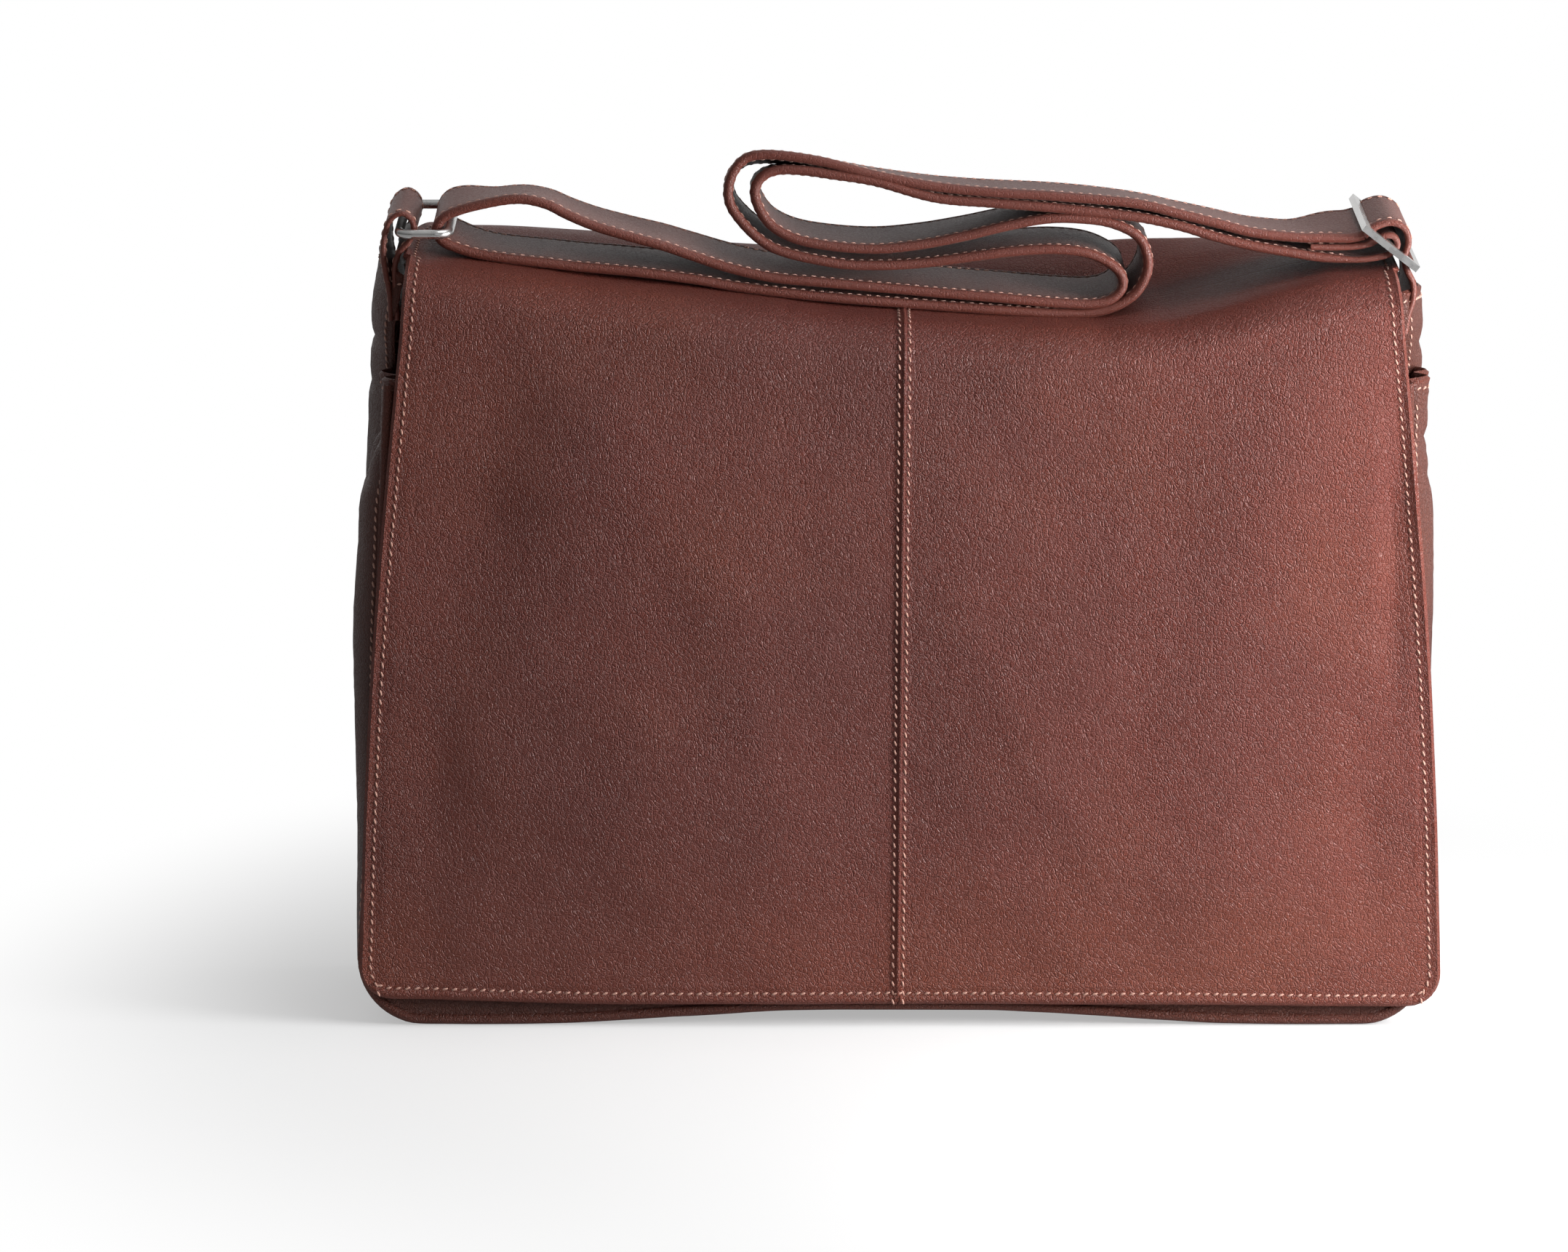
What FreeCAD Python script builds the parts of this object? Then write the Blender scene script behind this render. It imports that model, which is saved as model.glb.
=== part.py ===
import FreeCAD, Part
import math
import os

from FreeCAD import Vector

# Satchel bag. Millimetres, X across, Y from front (-) to back (+), Z up, base on z = 0.

# Body
baseWidth = 405.0
topInset = 9.5
gussetTop = 266.0
bodyDepth = 100.0
cornerRadius = 24.0
leather = 1.6
liningThick = 0.8
liningGap = 0.4
pocketDepth = 44.0
wallDrop = 8.0
pocketDrop = 22.0
liningDrop = 6.0
gussetCutInset = 42.5
pipingRadius = 2.15
panelGap = 0.1
boardThick = 2.4
boardMargin = 10.0

# Flap
flapBottomInset = 2.5
flapTopInset = 13.0
flapBottomZ = 10.5
flapCorner = 11.5
roofFrontRise = 2.0
roofBackRise = 18.0
frontFoldRadius = 20.0
backFoldRadius = 14.0
weltWidth = 4.0
weltProud = 0.8
flapLiningMargin = 6.0
flapGap = 0.4

# Magnetic snaps
snapX = 110.0
snapZ = 70.0
snapRadius = 8.0
snapThick = 0.6

# Slip pocket
slipWidth = 200.0
slipHeight = 110.0
slipDrop = 32.0
slipGap = 0.1

# Strap
strapWidth = 38.0
strapThick = 3.6
strapEndThick = 2.4
strapInset = 23.0
bendShare = 0.45
routeTopWidth = 386.0

# Ring and buckle
ringWire = 1.75
ringShort = 22.0
ringCorner = 5.0
ringRise = 26.32
hardwareInset = 9.3
hardwareClear = 4.0
buckleRise = 21.32
buckleLong = 26.0
buckleBar = 2.6
buckleTilt = 38.0
barCorner = 0.71
barGap = 0.2
ringGap = 0.3
loopSlack = 1.2
wrapSlack = 0.4
tabThick = 2.4
tabSlack = 0.8
legOverlap = 6.0
legInset = 3.0
innerLegInset = 5.8
anchorInset = 4.0
anchorRise = 7.32

# Heights and widths that follow the body
topWidth = baseWidth - 2 * topInset
wallY = pocketDepth - bodyDepth / 2
wallTop = gussetTop - wallDrop
pocketTop = gussetTop - pocketDrop
liningTop = wallTop - liningDrop
slipTop = liningTop - slipDrop
gussetCut = baseWidth / 2 - gussetCutInset
flapBottomWidth = baseWidth - 2 * flapBottomInset
flapTopWidth = topWidth - 2 * flapTopInset
roofFrontZ = gussetTop + roofFrontRise
roofBackZ = gussetTop + roofBackRise
roofSlope = math.atan2(roofBackZ - roofFrontZ, bodyDepth)
lengthwise = Vector(0, math.cos(roofSlope), math.sin(roofSlope))

# Places on the roof, measured from its height at the strap's front edge
strapFrontY = strapInset - bodyDepth / 2
strapBase = roofFrontZ + strapInset * math.tan(roofSlope)
ringInnerLong = strapWidth + hardwareClear
ringPivotX = hardwareInset - topWidth / 2
ringZ = strapBase + ringRise
buckleX = topWidth / 2 - hardwareInset
buckleZ = strapBase + buckleRise
anchorStart = (topWidth / 2 - anchorInset, strapBase + anchorRise)
legBottom = gussetTop - legOverlap

# The flap's layers, from the front
flapFrontY = -bodyDepth / 2 + weltProud
liningFrontY = flapFrontY + leather
studFrontY = liningFrontY + liningThick
socketFrontY = studFrontY + snapThick + flapGap
panelFrontY = socketFrontY + snapThick
pipingFrontY = panelFrontY - leather / 2
backInnerY = bodyDepth / 2 - leather
panelInset = 2 * pipingRadius + panelGap
hardwareFrontY = strapFrontY - (ringInnerLong - strapWidth) / 2

def onRoof(points):
    # Places on the roof from an x for the route's own top width and a height above strapBase
    return [(x * topWidth / routeTopWidth, strapBase + rise) for x, rise in points]


# Routes of the two strap layers at the strap's front edge, from the buckle to the ring
outerRun = onRoof([
    (150.0, 24.32), (140.0, 24.92), (108.0, 34.32), (80.0, 39.12), (40.0, 41.72), (8.0, 46.32),
    (-32.0, 53.82), (-62.0, 52.82), (-66.0, 30.32), (-42.0, 17.12), (-6.0, 12.62), (30.0, 16.32),
    (58.0, 22.32), (78.0, 22.82), (90.0, 15.32), (84.0, 7.12), (60.0, 6.92), (28.0, 7.12),
    (-22.0, 8.52), (-62.0, 12.92), (-88.0, 21.32), (-112.0, 28.32), (-126.0, 35.82),
    (-139.0, 38.32),
])
innerRun = onRoof([
    (150.0, 17.92), (140.0, 19.32), (108.0, 29.32), (80.0, 34.32), (40.0, 36.92), (5.0, 40.92),
    (-32.0, 47.32), (-52.0, 46.82), (-55.0, 33.32), (-38.0, 23.32), (-8.0, 18.62), (30.0, 23.32),
    (62.0, 30.32), (86.0, 27.32), (99.0, 18.32), (95.0, 3.92), (70.0, 2.32), (30.0, 2.32),
    (-20.0, 3.82), (-60.0, 7.52), (-100.0, 12.32), (-139.0, 15.92),
])


def away(p, q):
    length = math.hypot(q[0] - p[0], q[1] - p[1])
    return (q[0] - p[0]) / length, (q[1] - p[1]) / length, length


def bend(before, corner, after, radius):
    # The arc that rounds a corner: its start, middle, end, centre and radius. A radius of
    # None takes the largest arc that both runs allow.
    ux, uz, toBefore = away(corner, before)
    vx, vz, toAfter = away(corner, after)
    half = math.acos(max(-1.0, min(1.0, ux * vx + uz * vz))) / 2
    if radius is None:
        radius = bendShare * min(toBefore, toAfter) * math.tan(half)
    tangent = radius / math.tan(half)
    bx, bz, _ = away((0, 0), (ux + vx, uz + vz))
    reach = radius / math.sin(half)
    centre = (corner[0] + bx * reach, corner[1] + bz * reach)
    middle = (centre[0] - bx * radius, centre[1] - bz * radius)
    start = (corner[0] + ux * tangent, corner[1] + uz * tangent)
    end = (corner[0] + vx * tangent, corner[1] + vz * tangent)
    return start, middle, end, centre, radius


def inPlane(point, plane, place):
    if plane == "XZ":
        return Vector(point[0], place, point[1])
    if plane == "YZ":
        return Vector(place, point[0], point[1])
    return Vector(point[0], point[1], place)


def lineEdge(p, q, plane, place):
    return Part.LineSegment(inPlane(p, plane, place), inPlane(q, plane, place)).toShape()


def outline(points, radii, plane, place):
    # A closed face with rounded corners. A radius of 0 keeps a sharp corner.
    edges = []
    last = None
    first = None
    count = len(points)
    for i in range(count):
        if radii[i]:
            after = points[(i + 1) % count]
            start, middle, end, _, _ = bend(points[i - 1], points[i], after, radii[i])
        else:
            start, middle, end = points[i], None, points[i]
        if last:
            edges.append(lineEdge(last, start, plane, place))
        first = first or start
        if middle:
            corners = [inPlane(p, plane, place) for p in (start, middle, end)]
            edges.append(Part.Arc(*corners).toShape())
        last = end
    edges.append(lineEdge(last, first, plane, place))
    return Part.Face(Part.Wire(edges))


def ribbonSide(points, radii, shift):
    # One side of a band that follows rounded runs, as lines and three-point arcs
    pieces = []
    dx, dz, _ = away(points[0], points[1])
    last = (points[0][0] - dz * shift, points[0][1] + dx * shift)
    for i in range(1, len(points) - 1):
        corner = bend(points[i - 1], points[i], points[i + 1], radii[i - 1])
        start, middle, end, centre, radius = corner
        ix, iz, _ = away(points[i - 1], points[i])
        ox, oz, _ = away(points[i], points[i + 1])
        turn = 1 if ix * oz - iz * ox > 0 else -1
        scale = (radius - turn * shift) / radius
        a = (start[0] - iz * shift, start[1] + ix * shift)
        m = outFrom(centre, middle, scale)
        b = (end[0] - oz * shift, end[1] + ox * shift)
        pieces += [("line", last, a), ("arc", a, m, b)]
        last = b
    dx, dz, _ = away(points[-2], points[-1])
    pieces.append(("line", last, (points[-1][0] - dz * shift, points[-1][1] + dx * shift)))
    return pieces


def ribbon(points, thick, plane, place, radii=None):
    # A flat band of constant thickness, seen edge on, as a face
    radii = radii or [None] * (len(points) - 2)
    left = ribbonSide(points, radii, thick / 2)
    right = ribbonSide(points, radii, -thick / 2)
    back = [(piece[0],) + tuple(reversed(piece[1:])) for piece in reversed(right)]
    caps = [("line", left[-1][-1], back[0][1])], [("line", back[-1][-1], left[0][1])]
    edges = []
    for kind, *corners in left + caps[0] + back + caps[1]:
        spots = [inPlane(p, plane, place) for p in corners]
        if kind == "arc":
            edges.append(Part.Arc(*spots).toShape())
        elif spots[0].distanceToPoint(spots[1]) > 1e-6:
            edges.append(Part.LineSegment(*spots).toShape())
    return Part.Face(Part.Wire(edges))


def bodyHalf(z):
    return (baseWidth + (topWidth - baseWidth) * z / gussetTop) / 2


def bodyFace(inset, top, y):
    # The upright outline of the body, seen from the front, drawn in by an inset
    points = [
        (-bodyHalf(top) + inset, top), (-baseWidth / 2 + inset, inset),
        (baseWidth / 2 - inset, inset), (bodyHalf(top) - inset, top),
    ]
    radius = cornerRadius - inset
    return outline(points, [0, radius, radius, 0], "XZ", y)


def bodySlab(inset, top, y, thick):
    return bodyFace(inset, top, y).extrude(Vector(0, thick, 0))


def gussetStrip(top, y0, y1, inset=0.0, thick=leather):
    # The band round the sides and the base, open at the top
    outer = bodySlab(inset, top, y0, y1 - y0)
    inner = bodySlab(inset + thick, top + 1, y0 - 1, y1 - y0 + 2)
    return outer.cut(inner)


def boxOf(x0, x1, y0, y1, z0, z1):
    return Part.makeBox(x1 - x0, y1 - y0, z1 - z0, Vector(x0, y0, z0))


def splitGusset(strip):
    # Left side, base and right side of one band
    far = baseWidth
    left = strip.common(boxOf(-far, -gussetCut, -far, far, -1, far))
    base = strip.common(boxOf(-gussetCut, gussetCut, -far, far, -1, far))
    right = strip.common(boxOf(gussetCut, far, -far, far, -1, far))
    return left, base, right


def piping(top, y):
    inset = pipingRadius
    points = [
        (-bodyHalf(top) + inset, top), (-baseWidth / 2 + inset, inset),
        (baseWidth / 2 - inset, inset), (bodyHalf(top) - inset, top),
    ]
    radius = cornerRadius - inset
    edges = []
    last = points[0]
    for i in (1, 2):
        start, middle, end, _, _ = bend(points[i - 1], points[i], points[i + 1], radius)
        edges.append(lineEdge(last, start, "XZ", y))
        edges.append(Part.Arc(*[inPlane(p, "XZ", y) for p in (start, middle, end)]).toShape())
        last = end
    edges.append(lineEdge(last, points[3], "XZ", y))
    path = Part.Wire(edges)
    ring = Part.makeCircle(pipingRadius, inPlane(points[0], "XZ", y), path.Edges[0].tangentAt(0))
    return path.makePipeShell([Part.Wire([ring])], True, True)


def foldCorners():
    # The flap seen from the side: up the front, over the roof, down to the back panel
    frontY = flapFrontY + leather / 2
    backY = bodyDepth / 2 - leather / 2
    return [
        (frontY, flapBottomZ), (frontY, roofFrontZ - leather / 2),
        (backY, roofBackZ - leather / 2), (backY, wallTop - 40),
    ]


def foldArc(corner, radius):
    points = foldCorners()
    return bend(points[corner - 1], points[corner], points[corner + 1], radius)


def foldAxis(corner, radius):
    # Where a rigid flap turns so that the leather in the fold keeps its length
    points = foldCorners()
    start, _, _, centre, _ = foldArc(corner, radius)
    ux, uz, _ = away(points[corner], points[corner - 1])
    vx, vz, _ = away(points[corner], points[corner + 1])
    half = math.acos(ux * vx + uz * vz) / 2
    turn = math.pi - 2 * half
    tangent = radius / math.tan(half)
    reach = (2 * tangent - radius * turn) / (2 * math.sin(turn / 2))
    bx, bz, _ = away(points[corner], centre)
    return points[corner][0] + bx * reach, points[corner][1] + bz * reach


def outFrom(centre, point, scale):
    return (centre[0] + (point[0] - centre[0]) * scale, centre[1] + (point[1] - centre[1]) * scale)


def foldPiece(corner, radius, half):
    # Leather and lining together round one fold
    start, middle, end, centre, _ = foldArc(corner, radius)
    outer = radius + leather / 2
    inner = radius - leather / 2 - liningThick
    edges = []
    spots = []
    for reach in (outer, inner):
        arc = [outFrom(centre, p, reach / radius) for p in (start, middle, end)]
        spots.append([inPlane(p, "YZ", -half) for p in arc])
    edges.append(Part.Arc(*spots[0]).toShape())
    edges.append(Part.LineSegment(spots[0][2], spots[1][2]).toShape())
    edges.append(Part.Arc(*reversed(spots[1])).toShape())
    edges.append(Part.LineSegment(spots[1][0], spots[0][0]).toShape())
    return Part.Face(Part.Wire(edges)).extrude(Vector(2 * half, 0, 0))


def roofSlab(x0, x1, drop, thick):
    # A flat piece of the flap's roof between the two folds. The drop is from the leather's top.
    _, _, start, _, _ = foldArc(1, frontFoldRadius)
    end, _, _, _, _ = foldArc(2, backFoldRadius)
    ny, nz = -math.sin(roofLean()), math.cos(roofLean())
    upper = leather / 2 - drop
    lower = upper - thick
    corners = [
        (start[0] + ny * upper, start[1] + nz * upper), (end[0] + ny * upper, end[1] + nz * upper),
        (end[0] + ny * lower, end[1] + nz * lower), (start[0] + ny * lower, start[1] + nz * lower),
    ]
    return outline(corners, [0, 0, 0, 0], "YZ", x0).extrude(Vector(x1 - x0, 0, 0))


def roofLean():
    points = foldCorners()
    return math.atan2(points[2][1] - points[1][1], points[2][0] - points[1][0])


def flapFace(x0, x1, inset, top, y):
    # The flap's whole front with rounded bottom corners, and a window that keeps part of it
    def half(z):
        share = (z - flapBottomZ) / (top - flapBottomZ)
        return (flapBottomWidth + (flapTopWidth - flapBottomWidth) * share) / 2 - inset
    full = outline(
        [(-half(top), top), (-half(flapBottomZ), flapBottomZ + inset),
         (half(flapBottomZ), flapBottomZ + inset), (half(top), top)],
        [0, flapCorner, flapCorner, 0], "XZ", y)
    return full, boxOf(x0, x1, y - 5, y + 5, 0, top + 1)


def flapSheet(x0, x1, inset, y, thick):
    top = foldArc(1, frontFoldRadius)[0][1]
    full, window = flapFace(x0, x1, inset, top, y)
    return full.extrude(Vector(0, thick, 0)).common(window)


def welt():
    top = foldArc(1, frontFoldRadius)[0][1]
    half = weltWidth / 2 - 0.02
    crest = [Vector(-half, flapFrontY, flapBottomZ), Vector(0, -bodyDepth / 2, flapBottomZ),
             Vector(half, flapFrontY, flapBottomZ)]
    inner = [Vector(half, liningFrontY, flapBottomZ), Vector(-half, liningFrontY, flapBottomZ)]
    edges = [
        Part.Arc(*crest).toShape(), Part.LineSegment(crest[2], inner[0]).toShape(),
        Part.LineSegment(inner[0], inner[1]).toShape(), Part.LineSegment(inner[1], crest[0]).toShape(),
    ]
    return Part.Face(Part.Wire(edges)).extrude(Vector(0, 0, top - flapBottomZ))


def discs(y, thick):
    return [Part.makeCylinder(snapRadius, thick, Vector(side * snapX, y, snapZ), Vector(0, 1, 0))
            for side in (-1, 1)]


def liningBag(y0, y1, top):
    # A thin open-topped bag that hangs just inside the leather
    inset = 2 * pipingRadius + liningGap
    outer = bodySlab(inset, top, y0, y1 - y0)
    inner = bodySlab(inset + liningThick, top + 1, y0 + liningThick, y1 - y0 - 2 * liningThick)
    return outer.cut(inner)


def strapBand(points, thick=strapThick, radii=None):
    return ribbon(points, thick, "XZ", strapFrontY, radii).extrude(lengthwise * strapWidth)


def circlePath(centre, radius, fromAngle, toAngle):
    # A three-point arc as corner points of a many-sided path, in degrees
    count = 6
    step = math.radians(toAngle - fromAngle) / count
    corners = []
    for i in range(count):
        middle = math.radians(fromAngle) + step * (i + 0.5)
        reach = radius / math.cos(step / 2)
        corners.append((centre[0] + reach * math.cos(middle), centre[1] + reach * math.sin(middle)))
    return corners


def onward(run, reach):
    # A point past a run's last one, straight on
    dx, dz, _ = away(run[-2], run[-1])
    return run[-1][0] + dx * reach, run[-1][1] + dz * reach


def strapEndLeft():
    centre = (ringPivotX + ringShort - 2 * ringWire, ringZ)
    radius = ringWire + ringGap + strapEndThick / 2 + loopSlack
    loop = circlePath(centre, radius, 75, 285)
    return strapBand([outerRun[-1], onward(outerRun, 8.0)] + loop + [onward(innerRun, 9.0), innerRun[-1]])


def rise(y):
    # How far the strap's slope lifts a place above the strap's front edge
    return (y - strapFrontY) * math.tan(roofSlope)


def strapEndOuter():
    # Under the left bar, over the middle bar and down through the right slot
    centre = (buckleX, buckleZ)
    radius = buckleBar * barCorner + barGap + 1.5 * strapEndThick + wrapSlack
    over = circlePath(centre, radius, 120, -20)
    start = onward(outerRun[::-1], 10.0)
    before = (buckleX - 12.7, outerRun[0][1])
    after = (anchorStart[0] - 0.4, anchorStart[1] + 3.0)
    points = [outerRun[0], start, before] + over + [after, anchorStart]
    return strapBand(points, strapEndThick)


def strapEndInner():
    # Round the middle bar and back on itself, sewn down as a stub
    centre = (buckleX, buckleZ)
    radius = buckleBar * barCorner + barGap + strapEndThick / 2
    wrap = circlePath(centre, radius, -110, 130)
    start = onward(innerRun[::-1], 10.0)
    before = (buckleX - 11.7, buckleZ - 5.6)
    stub = [(buckleX - 9.7, buckleZ - 1.6), (buckleX - 23.7, buckleZ - 1.1)]
    return strapBand([innerRun[0], start, before] + wrap + stub, strapEndThick)


def strapAnchor():
    below = (anchorStart[0] + 0.4, anchorStart[1] - 3.0)
    return strapBand([anchorStart, below, (topWidth / 2 - legInset, legBottom)], strapEndThick)


def ringLeft():
    halfX = ringShort / 2 - ringWire
    cx = ringPivotX + halfX
    long = ringInnerLong + 2 * ringWire
    y0 = hardwareFrontY - ringWire
    points = [(cx - halfX, 0), (cx + halfX, 0), (cx + halfX, long), (cx - halfX, long)]
    wire = outline(points, [ringCorner] * 4, "XY", 0).OuterWire
    start = wire.Edges[0]
    middle = start.valueAt((start.FirstParameter + start.LastParameter) / 2)
    first = start.FirstParameter
    section = Part.makeCircle(ringWire, start.valueAt(first), start.tangentAt(first))
    solid = wire.makePipeShell([Part.Wire([section])], True, True)
    solid.rotate(Vector(0, 0, 0), Vector(1, 0, 0), math.degrees(roofSlope))
    solid.translate(Vector(0, y0, ringZ + rise(y0)))
    return solid


def buckleRight():
    long = ringInnerLong + 2 * buckleBar
    slot = (buckleLong - 3 * buckleBar) / 2
    plate = boxOf(-buckleLong / 2, buckleLong / 2, 0, long, -buckleBar / 2, buckleBar / 2)
    for side in (-1, 1):
        near = side * (buckleBar / 2)
        far = near + side * slot
        plate = plate.cut(boxOf(min(near, far), max(near, far), buckleBar, long - buckleBar, -5, 5))
    plate.rotate(Vector(0, 0, 0), Vector(0, 1, 0), buckleTilt)
    plate.rotate(Vector(0, 0, 0), Vector(1, 0, 0), math.degrees(roofSlope))
    y0 = hardwareFrontY - buckleBar
    plate.translate(Vector(buckleX, y0, buckleZ + rise(y0)))
    return plate


def tabLeft():
    # Two legs on the gusset and a loop round the ring's outer bar
    loop = circlePath((ringPivotX, ringZ), ringWire + ringGap + tabThick / 2 + tabSlack, 200, -70)
    outerX = legInset - topWidth / 2
    innerX = innerLegInset - topWidth / 2
    first = [(outerX, legBottom), (outerX - 0.2, ringZ - 10.0)]
    last = [(innerX, ringZ - 11.0), (innerX, legBottom)]
    return strapBand(first + loop + last, tabThick)


def save(name, shapes):
    shapes = shapes if isinstance(shapes, list) else [shapes]
    solids = [solid for shape in shapes for solid in shape.Solids]
    for solid in solids:
        if not solid.isValid() or solid.Volume <= 0:
            print("bad solid in", name)
    shape = solids[0] if len(solids) == 1 else Part.makeCompound(solids)
    shape.exportStep("parts/" + name + ".step")
    print(name, len(solids), round(shape.Volume))


def bodyNodes():
    pipingY = pipingFrontY + pipingRadius
    save("back_panel", bodySlab(panelInset, foldArc(2, backFoldRadius)[2][1], backInnerY, leather))
    save("piping_back", piping(gussetTop - 4, bodyDepth / 2 - pipingRadius))
    gussetBack = bodyDepth / 2 - 2 * pipingRadius
    left, base, right = splitGusset(gussetStrip(gussetTop, wallY + leather, gussetBack))
    save("gusset_left", left)
    save("base_panel", base)
    save("gusset_right", right)
    save("inner_wall", bodySlab(0.0, wallTop, wallY, leather))
    left, base, right = splitGusset(gussetStrip(pocketTop, pipingFrontY + 2 * pipingRadius, wallY))
    save("pocket_gusset_left", left)
    save("pocket_base", base)
    save("pocket_gusset_right", right)
    save("pocket_panel", bodySlab(panelInset, pocketTop, panelFrontY, leather))
    save("piping_front", piping(pocketTop, pipingY))
    save("snap_sockets", discs(socketFrontY, snapThick))


def insideNodes():
    mainFront = wallY + leather + liningGap
    mainBack = backInnerY - liningGap
    save("main_lining", liningBag(mainFront, mainBack, liningTop))
    pocketFront = panelFrontY + leather + liningGap
    save("pocket_lining", liningBag(pocketFront, wallY - liningGap, pocketTop - liningDrop))
    floor = 2 * pipingRadius + 2 * liningGap + liningThick
    half = baseWidth / 2 - cornerRadius - boardMargin
    y0 = mainFront + liningThick + liningGap
    y1 = mainBack - liningThick - liningGap
    save("base_board", boxOf(-half, half, y0, y1, floor, floor + boardThick))
    slipBack = mainBack - liningThick - slipGap
    slipFront = slipBack - liningThick
    half = slipWidth / 2
    save("slip_pocket", boxOf(-half, half, slipFront, slipBack, slipTop - slipHeight, slipTop))


def flapNodes():
    half = flapTopWidth / 2
    seam = weltWidth / 2
    far = baseWidth
    save("flap_front_left", flapSheet(-far, -seam, 0, flapFrontY, leather))
    save("flap_front_right", flapSheet(seam, far, 0, flapFrontY, leather))
    save("flap_welt", welt())
    save("flap_front_lining", flapSheet(-far, far, flapLiningMargin, liningFrontY, liningThick))
    save("snap_studs", discs(studFrontY, snapThick))
    save("flap_front_fold", foldPiece(1, frontFoldRadius, half))
    save("flap_roof_left", roofSlab(-half, -0.05, 0, leather))
    save("flap_roof_right", roofSlab(0.05, half, 0, leather))
    lined = half - flapLiningMargin
    save("flap_roof_lining", roofSlab(-lined, lined, leather, liningThick))
    save("flap_back_fold", foldPiece(2, backFoldRadius, half))


def strapNodes():
    save("strap_outer_run", strapBand(outerRun))
    save("strap_inner_run", strapBand(innerRun))
    save("strap_end_left", strapEndLeft())
    save("strap_end_outer", strapEndOuter())
    save("strap_end_inner", strapEndInner())
    save("strap_anchor_right", strapAnchor())
    save("ring_left", ringLeft())
    save("buckle_right", buckleRight())
    save("tab_left", tabLeft())


os.makedirs("parts", exist_ok=True)
bodyNodes()
insideNodes()
flapNodes()
strapNodes()
print("front fold axis", foldAxis(1, frontFoldRadius))
print("back fold axis", foldAxis(2, backFoldRadius))
print("lengthwise", tuple(lengthwise), "front edge", strapFrontY)
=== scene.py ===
import math

import bmesh
import bpy
import numpy as np
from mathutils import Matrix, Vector, noise


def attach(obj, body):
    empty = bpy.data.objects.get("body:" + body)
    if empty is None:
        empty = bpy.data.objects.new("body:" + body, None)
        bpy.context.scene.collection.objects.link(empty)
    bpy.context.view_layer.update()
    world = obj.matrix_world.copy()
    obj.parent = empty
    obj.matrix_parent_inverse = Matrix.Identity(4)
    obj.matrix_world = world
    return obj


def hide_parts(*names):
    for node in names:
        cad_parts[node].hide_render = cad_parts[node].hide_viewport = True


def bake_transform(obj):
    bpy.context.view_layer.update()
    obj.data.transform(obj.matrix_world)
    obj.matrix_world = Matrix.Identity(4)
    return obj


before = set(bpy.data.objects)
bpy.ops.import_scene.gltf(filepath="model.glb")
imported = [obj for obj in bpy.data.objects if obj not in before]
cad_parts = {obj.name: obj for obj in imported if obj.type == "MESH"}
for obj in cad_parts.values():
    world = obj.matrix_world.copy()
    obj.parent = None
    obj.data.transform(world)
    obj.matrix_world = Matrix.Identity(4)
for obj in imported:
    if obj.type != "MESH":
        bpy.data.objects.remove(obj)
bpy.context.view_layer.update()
print("frame loaded")

sharpAngle = math.radians(60)
edgeRound = 0.5
threadLift = 0.0001
norm = np.linalg.norm


def smooth(t):
    t = np.clip(t, 0.0, 1.0)
    return t * t * (3 - 2 * t)


def wobble(points, size, seed, squeeze=(1.0, 1.0, 1.0)):
    # soft repeatable noise, about -1 to 1, one value per point
    flat = (points * np.array(squeeze)).reshape(-1, 3) / size + seed * 7.31
    return np.array([noise.noise(Vector(p)) for p in flat]).reshape(points.shape[:-1])


def runLength(line):
    return np.r_[0, np.cumsum(norm(np.diff(line, axis=0), axis=1))]


def resample(line, count):
    lengths = runLength(line)
    at = np.linspace(0, lengths[-1], count)
    return np.stack([np.interp(at, lengths, line[:, k]) for k in range(line.shape[1])], axis=1)


def evenly(line, step):
    return resample(line, max(2, int(round(runLength(line)[-1] / step)) + 1))


def curveThrough(points, step):
    # an even polyline along a smooth line through given points
    p = np.array(points, float)
    p = np.vstack([2 * p[0] - p[1], p, 2 * p[-1] - p[-2]])
    t = np.linspace(0, 1, 24, endpoint=False)[:, None]
    fine = []
    for a, b, c, d in zip(p, p[1:], p[2:], p[3:]):
        fine.append(0.5 * (2 * b + (c - a) * t + (2 * a - 5 * b + 4 * c - d) * t ** 2
                           + (3 * b - a - 3 * c + d) * t ** 3))
    return evenly(np.vstack(fine + [p[-2][None, :]]), step)


def gridNormals(grid):
    n = np.cross(np.gradient(grid, axis=0), np.gradient(grid, axis=1))
    return n / np.maximum(norm(n, axis=2, keepdims=True), 1e-12)


def addObject(name, data):
    obj = bpy.data.objects.new(name, data)
    bpy.context.scene.collection.objects.link(obj)
    return obj


def addMesh(name, verts, faces, material, hem=None):
    # a closed mesh that faces outward. hem marks the rolled edges for the material.
    mesh = bpy.data.meshes.new(name)
    mesh.from_pydata([tuple(v) for v in verts], [], faces)
    mesh.update()
    for polygon in mesh.polygons:
        polygon.use_smooth = True
    mesh.set_sharp_from_angle(angle=sharpAngle)
    if hem is not None:
        layer = mesh.attributes.new("hem", "FLOAT", "POINT")
        layer.data.foreach_set("value", np.asarray(hem, np.float32))
    mesh.materials.append(material)
    bm = bmesh.new()
    bm.from_mesh(mesh)
    bmesh.ops.recalc_face_normals(bm, faces=bm.faces)
    bm.to_mesh(mesh)
    bm.free()
    return addObject(name, mesh)


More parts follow.
